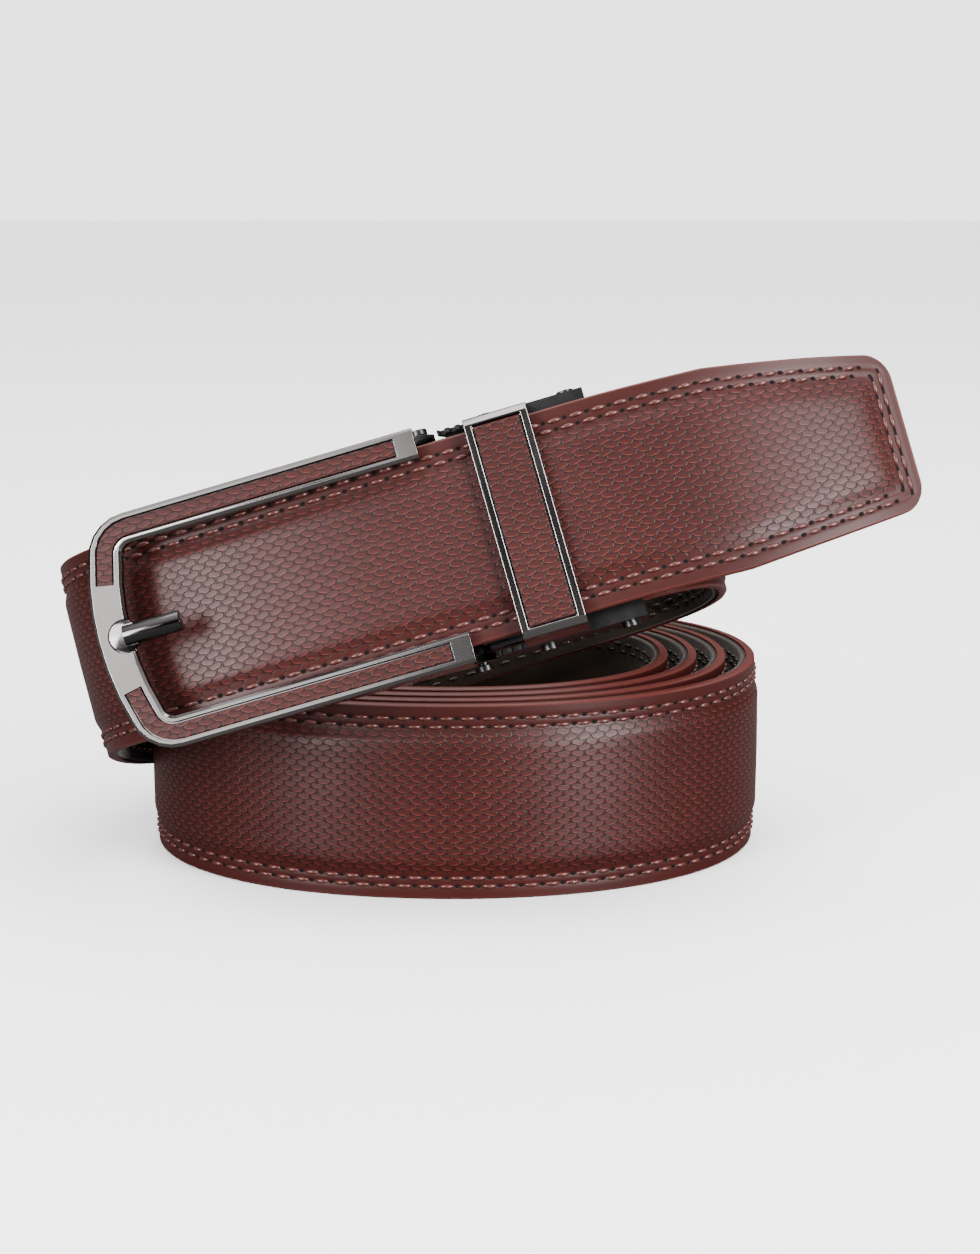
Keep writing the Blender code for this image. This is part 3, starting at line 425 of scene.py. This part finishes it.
# The tile's outline is a rounded box: the sum of the cubes of the two distances from its middle
sizes = add_node(tree, "ShaderNodeVectorMath", (("operation", "ABSOLUTE"),),
                 ((0, from_middle.outputs["Vector"]),))
squares = add_node(tree, "ShaderNodeVectorMath", (("operation", "MULTIPLY"),),
                   ((0, sizes.outputs["Vector"]), (1, sizes.outputs["Vector"])))
cubes = add_node(tree, "ShaderNodeVectorMath", (("operation", "DOT_PRODUCT"),),
                 ((0, squares.outputs["Vector"]), (1, sizes.outputs["Vector"])))
inside = add_node(tree, "ShaderNodeMapRange",
                  (("interpolation_type", "SMOOTHSTEP"), ("From Min", CELL_EDGE[0]),
                   ("From Max", CELL_EDGE[1]), ("To Min", 1.0), ("To Max", 0.0)),
                  (("Value", cubes.outputs["Value"]),))
rising = add_node(tree, "ShaderNodeMapRange",
                  (("From Min", 0.0), ("From Max", CELL_HEIGHT), ("To Min", UPPER_END),
                   ("To Max", LOWER_END)), (("Value", leant.outputs[0]),))
tile = add_node(tree, "ShaderNodeMath", (("operation", "MULTIPLY"),),
                ((0, inside.outputs[0]), (1, rising.outputs[0])))
inward = add_node(tree, "ShaderNodeAttribute", (("attribute_name", "inward"),)).outputs["Fac"]
middle = add_node(tree, "ShaderNodeMapRange",
                  (("interpolation_type", "SMOOTHSTEP"), ("From Min", PLAIN_BORDER[0]),
                   ("From Max", PLAIN_BORDER[1])), (("Value", inward),))
emboss = add_node(tree, "ShaderNodeMix", (("data_type", "FLOAT"), ("A", PLAIN_HEIGHT)),
                  (("Factor", middle.outputs[0]), ("B", tile.outputs[0])))
stitch_at = add_node(tree, "ShaderNodeSeparateXYZ", (), ((0, flat_mm),))
holes = []
for row_in, stagger in zip(STITCH_ROWS, (0.0, 0.5)):
    moved = add_node(tree, "ShaderNodeMath",
                     (("operation", "ADD"), (1, MM_PER_METRE * stagger * STITCH_PITCH)),
                     ((0, stitch_at.outputs["X"]),))
    along_hole = add_node(tree, "ShaderNodeMath",
                          (("operation", "PINGPONG"), (1, MM_PER_METRE * STITCH_PITCH / 2)),
                          ((0, moved.outputs[0]),))
    near = add_node(tree, "ShaderNodeMath", (("operation", "SUBTRACT"), (1, MM_PER_METRE * row_in)),
                    ((0, inward),))
    near = add_node(tree, "ShaderNodeCombineXYZ", (),
                    (("X", along_hole.outputs[0]), ("Y", near.outputs[0])))
    near = add_node(tree, "ShaderNodeVectorMath",
                    (("operation", "MULTIPLY"), (1, (1 / HOLE_RADIUS[0], 1 / HOLE_RADIUS[1], 0.0))),
                    ((0, near.outputs[0]),))
    holes.append(add_node(tree, "ShaderNodeVectorMath", (("operation", "LENGTH"),),
                          ((0, near.outputs[0]),)))
hole = add_node(tree, "ShaderNodeMath", (("operation", "MINIMUM"),),
                ((0, holes[0].outputs["Value"]), (1, holes[1].outputs["Value"])))
hole = add_node(tree, "ShaderNodeMapRange",
                (("interpolation_type", "SMOOTHSTEP"), ("From Min", HOLE_EDGE[0]),
                 ("From Max", HOLE_EDGE[1])), (("Value", hole.outputs[0]),))
pores = add_node(tree, "ShaderNodeTexNoise", (("Scale", 2.6), ("Detail", 4.0)), (("Vector", flat_mm),))
clouds = add_node(tree, "ShaderNodeTexNoise", (("Scale", 0.045), ("Detail", 3.0)), (("Vector", flat_mm),))
# Painted shade and highlight: the colour follows the relief, darkest in the grooves and palest on the tiles'
# lower rims
relief_shading = add_node(tree, "ShaderNodeValToRGB", (), (("Fac", emboss.outputs["Result"]),))
relief_shading.color_ramp.elements[0].color = linear(GROOVE_SHADE)
relief_shading.color_ramp.elements[1].color = linear(RIM_HIGHLIGHT[1])
relief_shading.color_ramp.elements[1].position = RIM_HIGHLIGHT[0]
for stop, tint in TILE_BODY_SHADES:
    relief_shading.color_ramp.elements.new(stop).color = linear(tint)
cloudy = add_node(tree, "ShaderNodeMix",
                  (("data_type", "RGBA"), ("blend_type", "MULTIPLY"), ("Factor", 1.0)),
                  (("A", relief_shading.outputs["Color"]),))
cloud_tone = add_node(tree, "ShaderNodeValToRGB", (), (("Fac", clouds.outputs["Fac"]),))
for element, (stop, tint) in zip(cloud_tone.color_ramp.elements, CLOUD_TONES):
    element.position = stop
    element.color = linear(tint)
tree.links.new(cloudy.inputs["B"], cloud_tone.outputs["Color"])
painted = add_node(tree, "ShaderNodeMapRange",
                   (("interpolation_type", "SMOOTHSTEP"), ("From Min", PAINTED_RIM[0]),
                    ("From Max", PAINTED_RIM[1])), (("Value", inward),))
edged = add_node(tree, "ShaderNodeMix", (("data_type", "RGBA"), ("A", linear(EDGE_PAINT))),
                 (("Factor", painted.outputs[0]), ("B", cloudy.outputs["Result"])))
# Painted shade: the stitch holes are coloured near black over the leather
colour = add_node(tree, "ShaderNodeMix", (("data_type", "RGBA"), ("A", linear(HOLE_SHADE))),
                  (("Factor", hole.outputs[0]), ("B", edged.outputs["Result"])))
relief = add_node(tree, "ShaderNodeMath", (("operation", "MULTIPLY_ADD"), (1, PORE_SHARE)),
                  ((0, pores.outputs["Fac"]), (2, emboss.outputs["Result"])))
relief = add_node(tree, "ShaderNodeMath", (("operation", "MULTIPLY"),),
                  ((0, relief.outputs[0]), (1, hole.outputs[0])))
bump = add_node(tree, "ShaderNodeBump", (("Strength", 0.75), ("Distance", 0.00010)),
                (("Height", relief.outputs[0]),))
gloss = add_node(tree, "ShaderNodeMapRange",
                 (("To Min", LEATHER_ROUGHNESS[0]), ("To Max", LEATHER_ROUGHNESS[1])),
                 (("Value", emboss.outputs["Result"]),))
gloss = add_node(tree, "ShaderNodeMix", (("data_type", "FLOAT"), ("A", HOLE_ROUGHNESS)),
                 (("Factor", hole.outputs[0]), ("B", gloss.outputs[0])))
shader = add_node(tree, "ShaderNodeBsdfPrincipled", (("Specular IOR Level", 0.20),),
                  (("Base Color", colour.outputs["Result"]), ("Roughness", gloss.outputs["Result"]),
                   ("Normal", bump.outputs["Normal"])))
tree.links.new(output.inputs["Surface"], shader.outputs["BSDF"])
strap_leather.data.materials.append(leather)
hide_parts("strap")
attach(strap_leather, "belt")


# The lining: dark brown suede split, glued to the leather's back and cut a little narrower. Its raised
# fibres, about 0.12 mm apart, make it dull, with brushed lighter and darker patches.
LINING_INSET = 0.0004
LINING_ROUND = 0.0003
LINING_SHARE = 0.985
GLUE_LINE = 0.00005
SUEDE_FIBRE = 0.00012
SUEDE_DARK = "#120b06"
SUEDE_BRUSHED = "#302213"
lining_half = half_width(length - LINING_INSET - runs[:-1], LINING_INSET)
lining_runs = runs[:-1] * (length - LINING_INSET) / runs[-2]
lining_side = np.array((1.0, LINING_SHARE, -LINING_SHARE, -1.0, *BACK_SHARES))
lining_out = np.array((LINING_BACK + LINING_ROUND, LINING_BACK, LINING_BACK, LINING_BACK + LINING_ROUND,
                       *(LEATHER_BACK - GLUE_LINE,) * len(BACK_SHARES)))
lining_across = lining_half[:, None] * lining_side[None, :]
strap_suede = tube("strap_suede", on_belt(line, lining_runs[:, None], lining_across, lining_out[None, :]))
lay_out(strap_suede, np.broadcast_to(lining_runs[:, None], lining_across.shape), lining_across,
        np.zeros(lining_across.shape))
smooth(strap_suede, STRAP_CREASE)
suede, tree, output = new_material("suede_split")
flat = add_node(tree, "ShaderNodeUVMap", (("uv_map", "flat"),)).outputs["UV"]
nap = add_node(tree, "ShaderNodeTexNoise", (("Scale", 1 / SUEDE_FIBRE), ("Detail", 3.0)),
               (("Vector", flat),))
brushed = add_node(tree, "ShaderNodeTexNoise", (("Scale", 90.0), ("Detail", 3.0)), (("Vector", flat),))
nap_tone = add_node(tree, "ShaderNodeMix",
                    (("data_type", "RGBA"), ("A", linear(SUEDE_DARK)), ("B", linear(SUEDE_BRUSHED))),
                    (("Factor", brushed.outputs["Fac"]),))
bump = add_node(tree, "ShaderNodeBump", (("Strength", 0.6), ("Distance", 0.0001)),
                (("Height", nap.outputs["Fac"]),))
shader = add_node(tree, "ShaderNodeBsdfPrincipled",
                  (("Roughness", 0.92), ("Specular IOR Level", 0.2), ("Sheen Weight", 0.10),
                   ("Sheen Roughness", 0.5)),
                  (("Base Color", nap_tone.outputs["Result"]), ("Normal", bump.outputs["Normal"])))
tree.links.new(output.inputs["Surface"], shader.outputs["BSDF"])
strap_suede.data.materials.append(suede)
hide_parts("strap_lining")
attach(strap_suede, "belt")


# The stitching: two rows of bonded polyester thread along each border, lock-stitched through leather
# and lining, and two rows across the tip. Each stitch is a plump bead that dives at both ends.
THREAD_RADIUS = 0.00042
STITCH_LENGTH = 0.0027
STITCH_PROUD = 0.35
STITCH_DIVE = 0.00022
STITCH_SIDES = 6
STITCH_STEPS = 5
BEAD_CREASE = 80
FIRST_STITCH = 2
THREAD_TONES = ("#2d1311", "#552924")
DARK_THREAD_TONES = ("#120b07", "#2a1c13")


def stitch_row(run_mid, side_mid, surface, turn=1, over_tip=False):
    """Stitches centred at running lengths and places across: an ellipsoid of revolution for each, whose
    middle line is an arc that is high halfway and sinks at both ends. turn is 1 for the face and -1 for
    the back. They point along the belt, or across it over the tip. Gives stitches by rings by points by
    3. The square's limit of 1.02 leaves a small flat ring at each end."""
    step = np.linspace(-1.0, 1.0, STITCH_STEPS + 2)[None, :, None]
    angle = (np.arange(STITCH_SIDES) * 2 * math.pi / STITCH_SIDES)[None, None, :]
    girth = np.sqrt(np.clip(1.02 - step ** 2, 0.0, None)) * THREAD_RADIUS
    lengthwise = step * STITCH_LENGTH / 2 + 0.0 * angle
    sideways = girth * np.cos(angle)
    if over_tip:
        lengthwise, sideways = -sideways, lengthwise
    arc = surface + turn * (THREAD_RADIUS * STITCH_PROUD - STITCH_DIVE * step ** 2)
    return on_belt(line, run_mid[:, None, None] + lengthwise, side_mid[:, None, None] + sideways,
                   arc + girth * np.sin(angle))


def bead_mesh(name, beads):
    """One mesh of closed beads, an array of beads by rings by points by 3."""
    count, steps, around = beads.shape[:3]
    bead, ring, k = np.meshgrid(np.arange(count), np.arange(steps - 1), np.arange(around), indexing="ij")
    base = (bead * steps + ring) * around
    after = (k + 1) % around
    quads = np.stack((base + k, base + after, base + around + after, base + around + k), axis=-1)
    caps = np.arange(count)[:, None] * steps * around + np.arange(around)[None, :]
    ends = caps + (steps - 1) * around
    return new_piece(name, beads, quads.reshape(-1, 4).tolist() + caps[:, ::-1].tolist() + ends.tolist())


def recoloured(finish, name, tones):
    """A copy of a material under another name, with its two tones changed."""
    made = finish.copy()
    made.name = name
    for node in made.node_tree.nodes:
        if node.bl_idname == "ShaderNodeMix":
            node.inputs["A"].default_value = linear(tones[0])
            node.inputs["B"].default_value = linear(tones[1])
    return made


# Bonded polyester: a tight, slightly shiny twist, whose plies are drawn coarser than life so they show
thread, tree, output = new_material("bonded_thread")
spot = add_node(tree, "ShaderNodeTexCoord").outputs["Object"]
plies = add_node(tree, "ShaderNodeTexNoise", (("Scale", 1800.0), ("Detail", 2.0)), (("Vector", spot),))
thread_tone = add_node(tree, "ShaderNodeMix",
                       (("data_type", "RGBA"), ("A", linear(THREAD_TONES[0])),
                        ("B", linear(THREAD_TONES[1]))), (("Factor", plies.outputs["Fac"]),))
bump = add_node(tree, "ShaderNodeBump", (("Strength", 0.5), ("Distance", 0.00006)),
                (("Height", plies.outputs["Fac"]),))
shader = add_node(tree, "ShaderNodeBsdfPrincipled", (("Roughness", 0.32),),
                  (("Base Color", thread_tone.outputs["Result"]), ("Normal", bump.outputs["Normal"])))
tree.links.new(output.inputs["Surface"], shader.outputs["BSDF"])
dark_thread = recoloured(thread, "bonded_thread_brown", DARK_THREAD_TONES)
first = np.arange(FIRST_STITCH, int((length - BORDER_WIDTH) / STITCH_PITCH))
for name, surface, turn, finish in (("face_stitches", LEATHER_TOP - STITCH_DEPTH, 1, thread),
                                    ("back_stitches", LINING_BACK, -1, dark_thread)):
    beads = []
    for inset, stagger in zip(STITCH_ROWS, (0.5, 0.0)):
        middles = (first + stagger) * STITCH_PITCH
        beads += [stitch_row(middles, side * (half_width(length - middles) - inset), surface, turn)
                  for side in (1, -1)]
    rows_of_stitches = bead_mesh(name, np.concatenate(beads))
    smooth(rows_of_stitches, BEAD_CREASE)
    rows_of_stitches.data.materials.append(finish)
    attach(rows_of_stitches, "belt")


# The tip's stitches: the same bonded thread carried across the end, two rows set in from it. They lie
# square to the rows along the borders and run from one side to the other.
TIP_STITCHES = 6
across_places = (np.arange(TIP_STITCHES) + 0.5 - TIP_STITCHES / 2) / TIP_STITCHES
tip_beads = [stitch_row(np.full(TIP_STITCHES, length - inset),
                        across_places * (2 * (TIP_WIDTH / 2 - inset)),
                        LEATHER_TOP - STITCH_DEPTH, over_tip=True) for inset in STITCH_ROWS]
tip_stitches = bead_mesh("tip_stitches", np.concatenate(tip_beads))
smooth(tip_stitches, BEAD_CREASE)
tip_stitches.data.materials.append(thread)
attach(tip_stitches, "belt")


# The frame: a zinc casting, polished and plated in dark nickel, with a rim each side of its leather.
# Its edges are tumbled round, so they show as thin bright lines.
CAST_EASE = 0.00050
MERGE_DISTANCE = 0.000002
FLAT_DEGREES = 1.0
EASE_SEGMENTS = 3
NICKEL_TONES = ("#757271", "#8c8887")
NICKEL_ROUGHNESS = (0.11, 0.17)


def eased(node, name, width, body, finish, bend=35):
    """A copy of a CAD node with its loose triangles joined, flat faces merged, and its edges rounded
    by a bevel of the given width in metres. It stands for the node."""
    bm = bmesh.new()
    bm.from_mesh(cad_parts[node].data)
    bmesh.ops.remove_doubles(bm, verts=bm.verts[:], dist=MERGE_DISTANCE)
    bmesh.ops.dissolve_limit(bm, angle_limit=math.radians(FLAT_DEGREES), verts=bm.verts[:],
                             edges=bm.edges[:])
    bmesh.ops.recalc_face_normals(bm, faces=bm.faces[:])
    mesh = bpy.data.meshes.new(name)
    bm.to_mesh(mesh)
    bm.free()
    mesh.materials.append(finish)
    made = bpy.data.objects.new(name, mesh)
    bpy.context.scene.collection.objects.link(made)
    smooth(made, bend)
    if width:
        round_over = made.modifiers.new("ease", "BEVEL")
        round_over.width = width
        round_over.segments = EASE_SEGMENTS
        round_over.limit_method = "ANGLE"
        round_over.angle_limit = math.radians(bend)
        round_over.harden_normals = True
    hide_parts(node)
    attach(made, body)
    return made


nickel, tree, output = new_material("dark_nickel_plate")
spot = add_node(tree, "ShaderNodeTexCoord").outputs["Object"]
haze = add_node(tree, "ShaderNodeTexNoise", (("Scale", 120.0), ("Detail", 1.0)), (("Vector", spot),))
haze = add_node(tree, "ShaderNodeMapRange",
                (("To Min", NICKEL_ROUGHNESS[0]), ("To Max", NICKEL_ROUGHNESS[1])),
                (("Value", haze.outputs["Fac"]),))
swirl = add_node(tree, "ShaderNodeTexNoise", (("Scale", 60.0), ("Detail", 3.0)), (("Vector", spot),))
plate_tone = add_node(tree, "ShaderNodeMix",
                      (("data_type", "RGBA"), ("A", linear(NICKEL_TONES[0])),
                       ("B", linear(NICKEL_TONES[1]))), (("Factor", swirl.outputs["Fac"]),))
shader = add_node(tree, "ShaderNodeBsdfPrincipled", (("Metallic", 1.0),),
                  (("Base Color", plate_tone.outputs["Result"]), ("Roughness", haze.outputs[0])))
tree.links.new(output.inputs["Surface"], shader.outputs["BSDF"])
eased("frame", "frame_metal", CAST_EASE, "frame", nickel)


# The prong: a stub of plated zinc, fixed in the bar, that only looks like a buckle's prong. Its plate is
# darker than the frame's.
PRONG_TONES = ("#454344", "#575455")
PRONG_CREASE = 45
dark_nickel = recoloured(nickel, "black_nickel_plate", PRONG_TONES)
eased("prong", "prong_metal", 0.0, "frame", dark_nickel, PRONG_CREASE)


# The inlays: strips of the strap's leather, glued into the frame's grooves and the keeper's recess.
# Their tiles run along the belt as the strap's do.
INLAY_EASE = 0.00012
centre = BUCKLE_CENTRE + placed
for node, body in (("frame_inlay_upper", "frame"), ("frame_inlay_lower", "frame"), ("keeper_inlay", "belt")):
    inlay = eased(node, node + "_leather", INLAY_EASE, body, leather)
    points = np.empty(3 * len(inlay.data.vertices), dtype=np.float32)
    inlay.data.vertices.foreach_get("co", points)
    points = points.reshape(-1, 3) - centre
    # A whole strap's width in from the edge, so that no border or stitch hole falls on an inlay
    lay_out(inlay, points @ ALONG, points @ ACROSS, np.full(len(points), STRAP_WIDTH))


# The keeper: a bent strip of the same plated metal, with polished edges. It stands on the housing's two
# sides as a bridge and holds the tongue down.
eased("keeper", "keeper_metal", CAST_EASE, "belt", nickel)


# The housing, its clamp, pin and pawl: pressed steel, black-plated and lightly buffed. The plate's
# thickness varies a little, so its grey and its gloss change from place to place.
PRESSED_EASE = 0.00012
HEAVY_EASE = 0.00020
STEEL_TONES = ("#2f2f30", "#454446")
STEEL_ROUGHNESS = (0.24, 0.42)
black, tree, output = new_material("black_plated_steel")
spot = add_node(tree, "ShaderNodeTexCoord").outputs["Object"]
scuff = add_node(tree, "ShaderNodeTexNoise", (("Scale", 400.0), ("Detail", 4.0)), (("Vector", spot),))
scuff = add_node(tree, "ShaderNodeMapRange",
                 (("To Min", STEEL_ROUGHNESS[0]), ("To Max", STEEL_ROUGHNESS[1])),
                 (("Value", scuff.outputs["Fac"]),))
cloud = add_node(tree, "ShaderNodeTexNoise", (("Scale", 120.0), ("Detail", 2.0)), (("Vector", spot),))
steel_tone = add_node(tree, "ShaderNodeMix",
                      (("data_type", "RGBA"), ("A", linear(STEEL_TONES[0])),
                       ("B", linear(STEEL_TONES[1]))), (("Factor", cloud.outputs["Fac"]),))
shader = add_node(tree, "ShaderNodeBsdfPrincipled", (("Metallic", 1.0),),
                  (("Base Color", steel_tone.outputs["Result"]), ("Roughness", scuff.outputs[0])))
tree.links.new(output.inputs["Surface"], shader.outputs["BSDF"])
eased("housing", "housing_steel", PRESSED_EASE, "belt", black)
eased("strap_clamp", "clamp_steel", HEAVY_EASE, "belt", black)
eased("hinge_pin", "pin_steel", HEAVY_EASE, "belt", black)
eased("release_pawl", "pawl_steel", PRESSED_EASE, "belt", black)


# The ratchet track: a toothed strip of moulded black nylon, fixed to the tongue's back where the pawl
# meets it. It has a faint sheen and moulding grain.
TRACK_EASE = 0.00008
TRACK_CREASE = 25
NYLON_BLACK = "#1b1a19"
nylon, tree, output = new_material("moulded_nylon")
spot = add_node(tree, "ShaderNodeTexCoord").outputs["Object"]
grain = add_node(tree, "ShaderNodeTexNoise", (("Scale", 1500.0), ("Detail", 2.0)), (("Vector", spot),))
bump = add_node(tree, "ShaderNodeBump", (("Strength", 0.3), ("Distance", 0.00004)),
                (("Height", grain.outputs["Fac"]),))
shader = add_node(tree, "ShaderNodeBsdfPrincipled", (("Base Color", linear(NYLON_BLACK)), ("Roughness", 0.5)),
                  (("Normal", bump.outputs["Normal"]),))
tree.links.new(output.inputs["Surface"], shader.outputs["BSDF"])
eased("ratchet_track", "track_moulding", TRACK_EASE, "belt", nylon, TRACK_CREASE)


# The studio's floor: a sweep of matte white paper. The camera sees it white, and other rays find it
# grey, so that it throws little light back up at the belt.
FLOOR_HALF = 4.0
PAPER_SEEN = "#fafafa"
PAPER_BOUNCE = "#505050"
floor_corners = np.array([(x, y, cad_bounds[0][2]) for x, y in
                          ((-FLOOR_HALF, -FLOOR_HALF), (FLOOR_HALF, -FLOOR_HALF),
                           (FLOOR_HALF, FLOOR_HALF), (-FLOOR_HALF, FLOOR_HALF))])
floor = new_piece("paper_floor", floor_corners, [(0, 1, 2, 3)])
paper, tree, output = new_material("matte_paper")
spot = add_node(tree, "ShaderNodeTexCoord").outputs["Object"]
tooth = add_node(tree, "ShaderNodeTexNoise", (("Scale", 300.0),), (("Vector", spot),))
tooth = add_node(tree, "ShaderNodeBump", (("Strength", 0.05), ("Distance", 0.0001)),
                 (("Height", tooth.outputs["Fac"]),))
seen = add_node(tree, "ShaderNodeLightPath").outputs["Is Camera Ray"]
tone = add_node(tree, "ShaderNodeMix",
                (("data_type", "RGBA"), ("A", linear(PAPER_BOUNCE)), ("B", linear(PAPER_SEEN))),
                (("Factor", seen),))
shader = add_node(tree, "ShaderNodeBsdfPrincipled", (("Roughness", 0.9), ("Specular IOR Level", 0.1)),
                  (("Base Color", tone.outputs["Result"]), ("Normal", tooth.outputs["Normal"])))
tree.links.new(output.inputs["Surface"], shader.outputs["BSDF"])
floor.data.materials.append(paper)


# The studio's room: brighter towards the ceiling, evenly pale behind the belt, and with darker walls in
# the metal's reflections, which give the polished edges their contrast.
ROOM_WHITE = "#fbfbfb"
ROOM_FILL = (0.20, 3.8)
ROOM_REFLECTED = (0.06, 3.0)
ROOM_BEHIND = 2.9
world = bpy.data.worlds.new("studio")
world.use_nodes = True
bpy.context.scene.world = world
tree = world.node_tree
tree.nodes.clear()
way = add_node(tree, "ShaderNodeTexCoord").outputs["Generated"]
way = add_node(tree, "ShaderNodeSeparateXYZ", (), ((0, way),))
room = add_node(tree, "ShaderNodeMapRange",
                (("interpolation_type", "SMOOTHSTEP"), ("From Min", 0.10), ("From Max", 1.0),
                 ("To Min", ROOM_FILL[0]), ("To Max", ROOM_FILL[1])), (("Value", way.outputs["Z"]),))
path = add_node(tree, "ShaderNodeLightPath")
mirrored = add_node(tree, "ShaderNodeMapRange",
                    (("From Min", 0.42), ("From Max", 1.0), ("To Min", ROOM_REFLECTED[0]),
                     ("To Max", ROOM_REFLECTED[1])), (("Value", way.outputs["Z"]),))
strength = add_node(tree, "ShaderNodeMix", (("data_type", "FLOAT"),),
                    (("Factor", path.outputs["Is Glossy Ray"]), ("A", room.outputs[0]),
                     ("B", mirrored.outputs[0])))
strength = add_node(tree, "ShaderNodeMix", (("data_type", "FLOAT"), ("B", ROOM_BEHIND)),
                    (("Factor", path.outputs["Is Camera Ray"]), ("A", strength.outputs["Result"])))
backdrop = add_node(tree, "ShaderNodeBackground", (("Color", linear(ROOM_WHITE)),),
                    (("Strength", strength.outputs["Result"]),))
add_node(tree, "ShaderNodeOutputWorld", (), (("Surface", backdrop.outputs[0]),))


# The lights: a broad soft light overhead, a softbox and a low strip on each side, and a small card in
# front. All of them are square and face a point on the coil.
AIM = (0.0, 0.0, 0.04)
SOFT_LIGHTS = (
    # name, place, size, watts
    ("top_softbox", (0.05, 0.20, 1.00), 0.80, 7.0),
    ("left_softbox", (-0.62, -0.70, 0.40), 0.36, 9.5),
    ("right_softbox", (0.70, -0.62, 0.46), 0.40, 14.5),
    ("left_strip", (-0.60, -0.72, 0.13), 0.22, 6.0),
    ("right_strip", (0.58, -0.74, 0.13), 0.22, 9.5),
    ("front_card", (-0.33, -0.95, 0.38), 0.26, 0.7),
)
for name, place, size, watts in SOFT_LIGHTS:
    lamp = bpy.data.lights.new(name, "AREA")
    lamp.shape = "SQUARE"
    lamp.size = size
    lamp.energy = watts
    stand = bpy.data.objects.new(name, lamp)
    stand.location = place
    stand.rotation_euler = (Vector(AIM) - Vector(place)).to_track_quat("-Z", "Y").to_euler()
    bpy.context.scene.collection.objects.link(stand)


# The camera stands where the photograph's does, 470 mm in front of the belt and 130 mm up, and looks
# down a little. Its focal length is 2500 pixels of the photograph's height.
PHOTO_HEIGHT = 1254
FOCAL_PIXELS = 2500
SENSOR = 36.0
CAMERA_PLACE = np.array((0.0, -0.470, 0.1301))
CAMERA_DIP = math.radians(10.9)
lens = bpy.data.cameras.new("camera")
lens.sensor_width = SENSOR
lens.lens = FOCAL_PIXELS * SENSOR / PHOTO_HEIGHT
lens.clip_start = 0.01
camera = bpy.data.objects.new("camera", lens)
camera.location = CAMERA_PLACE + placed
camera.rotation_euler = (math.pi / 2 - CAMERA_DIP, 0.0, 0.0)
bpy.context.scene.collection.objects.link(camera)
bpy.context.scene.camera = camera
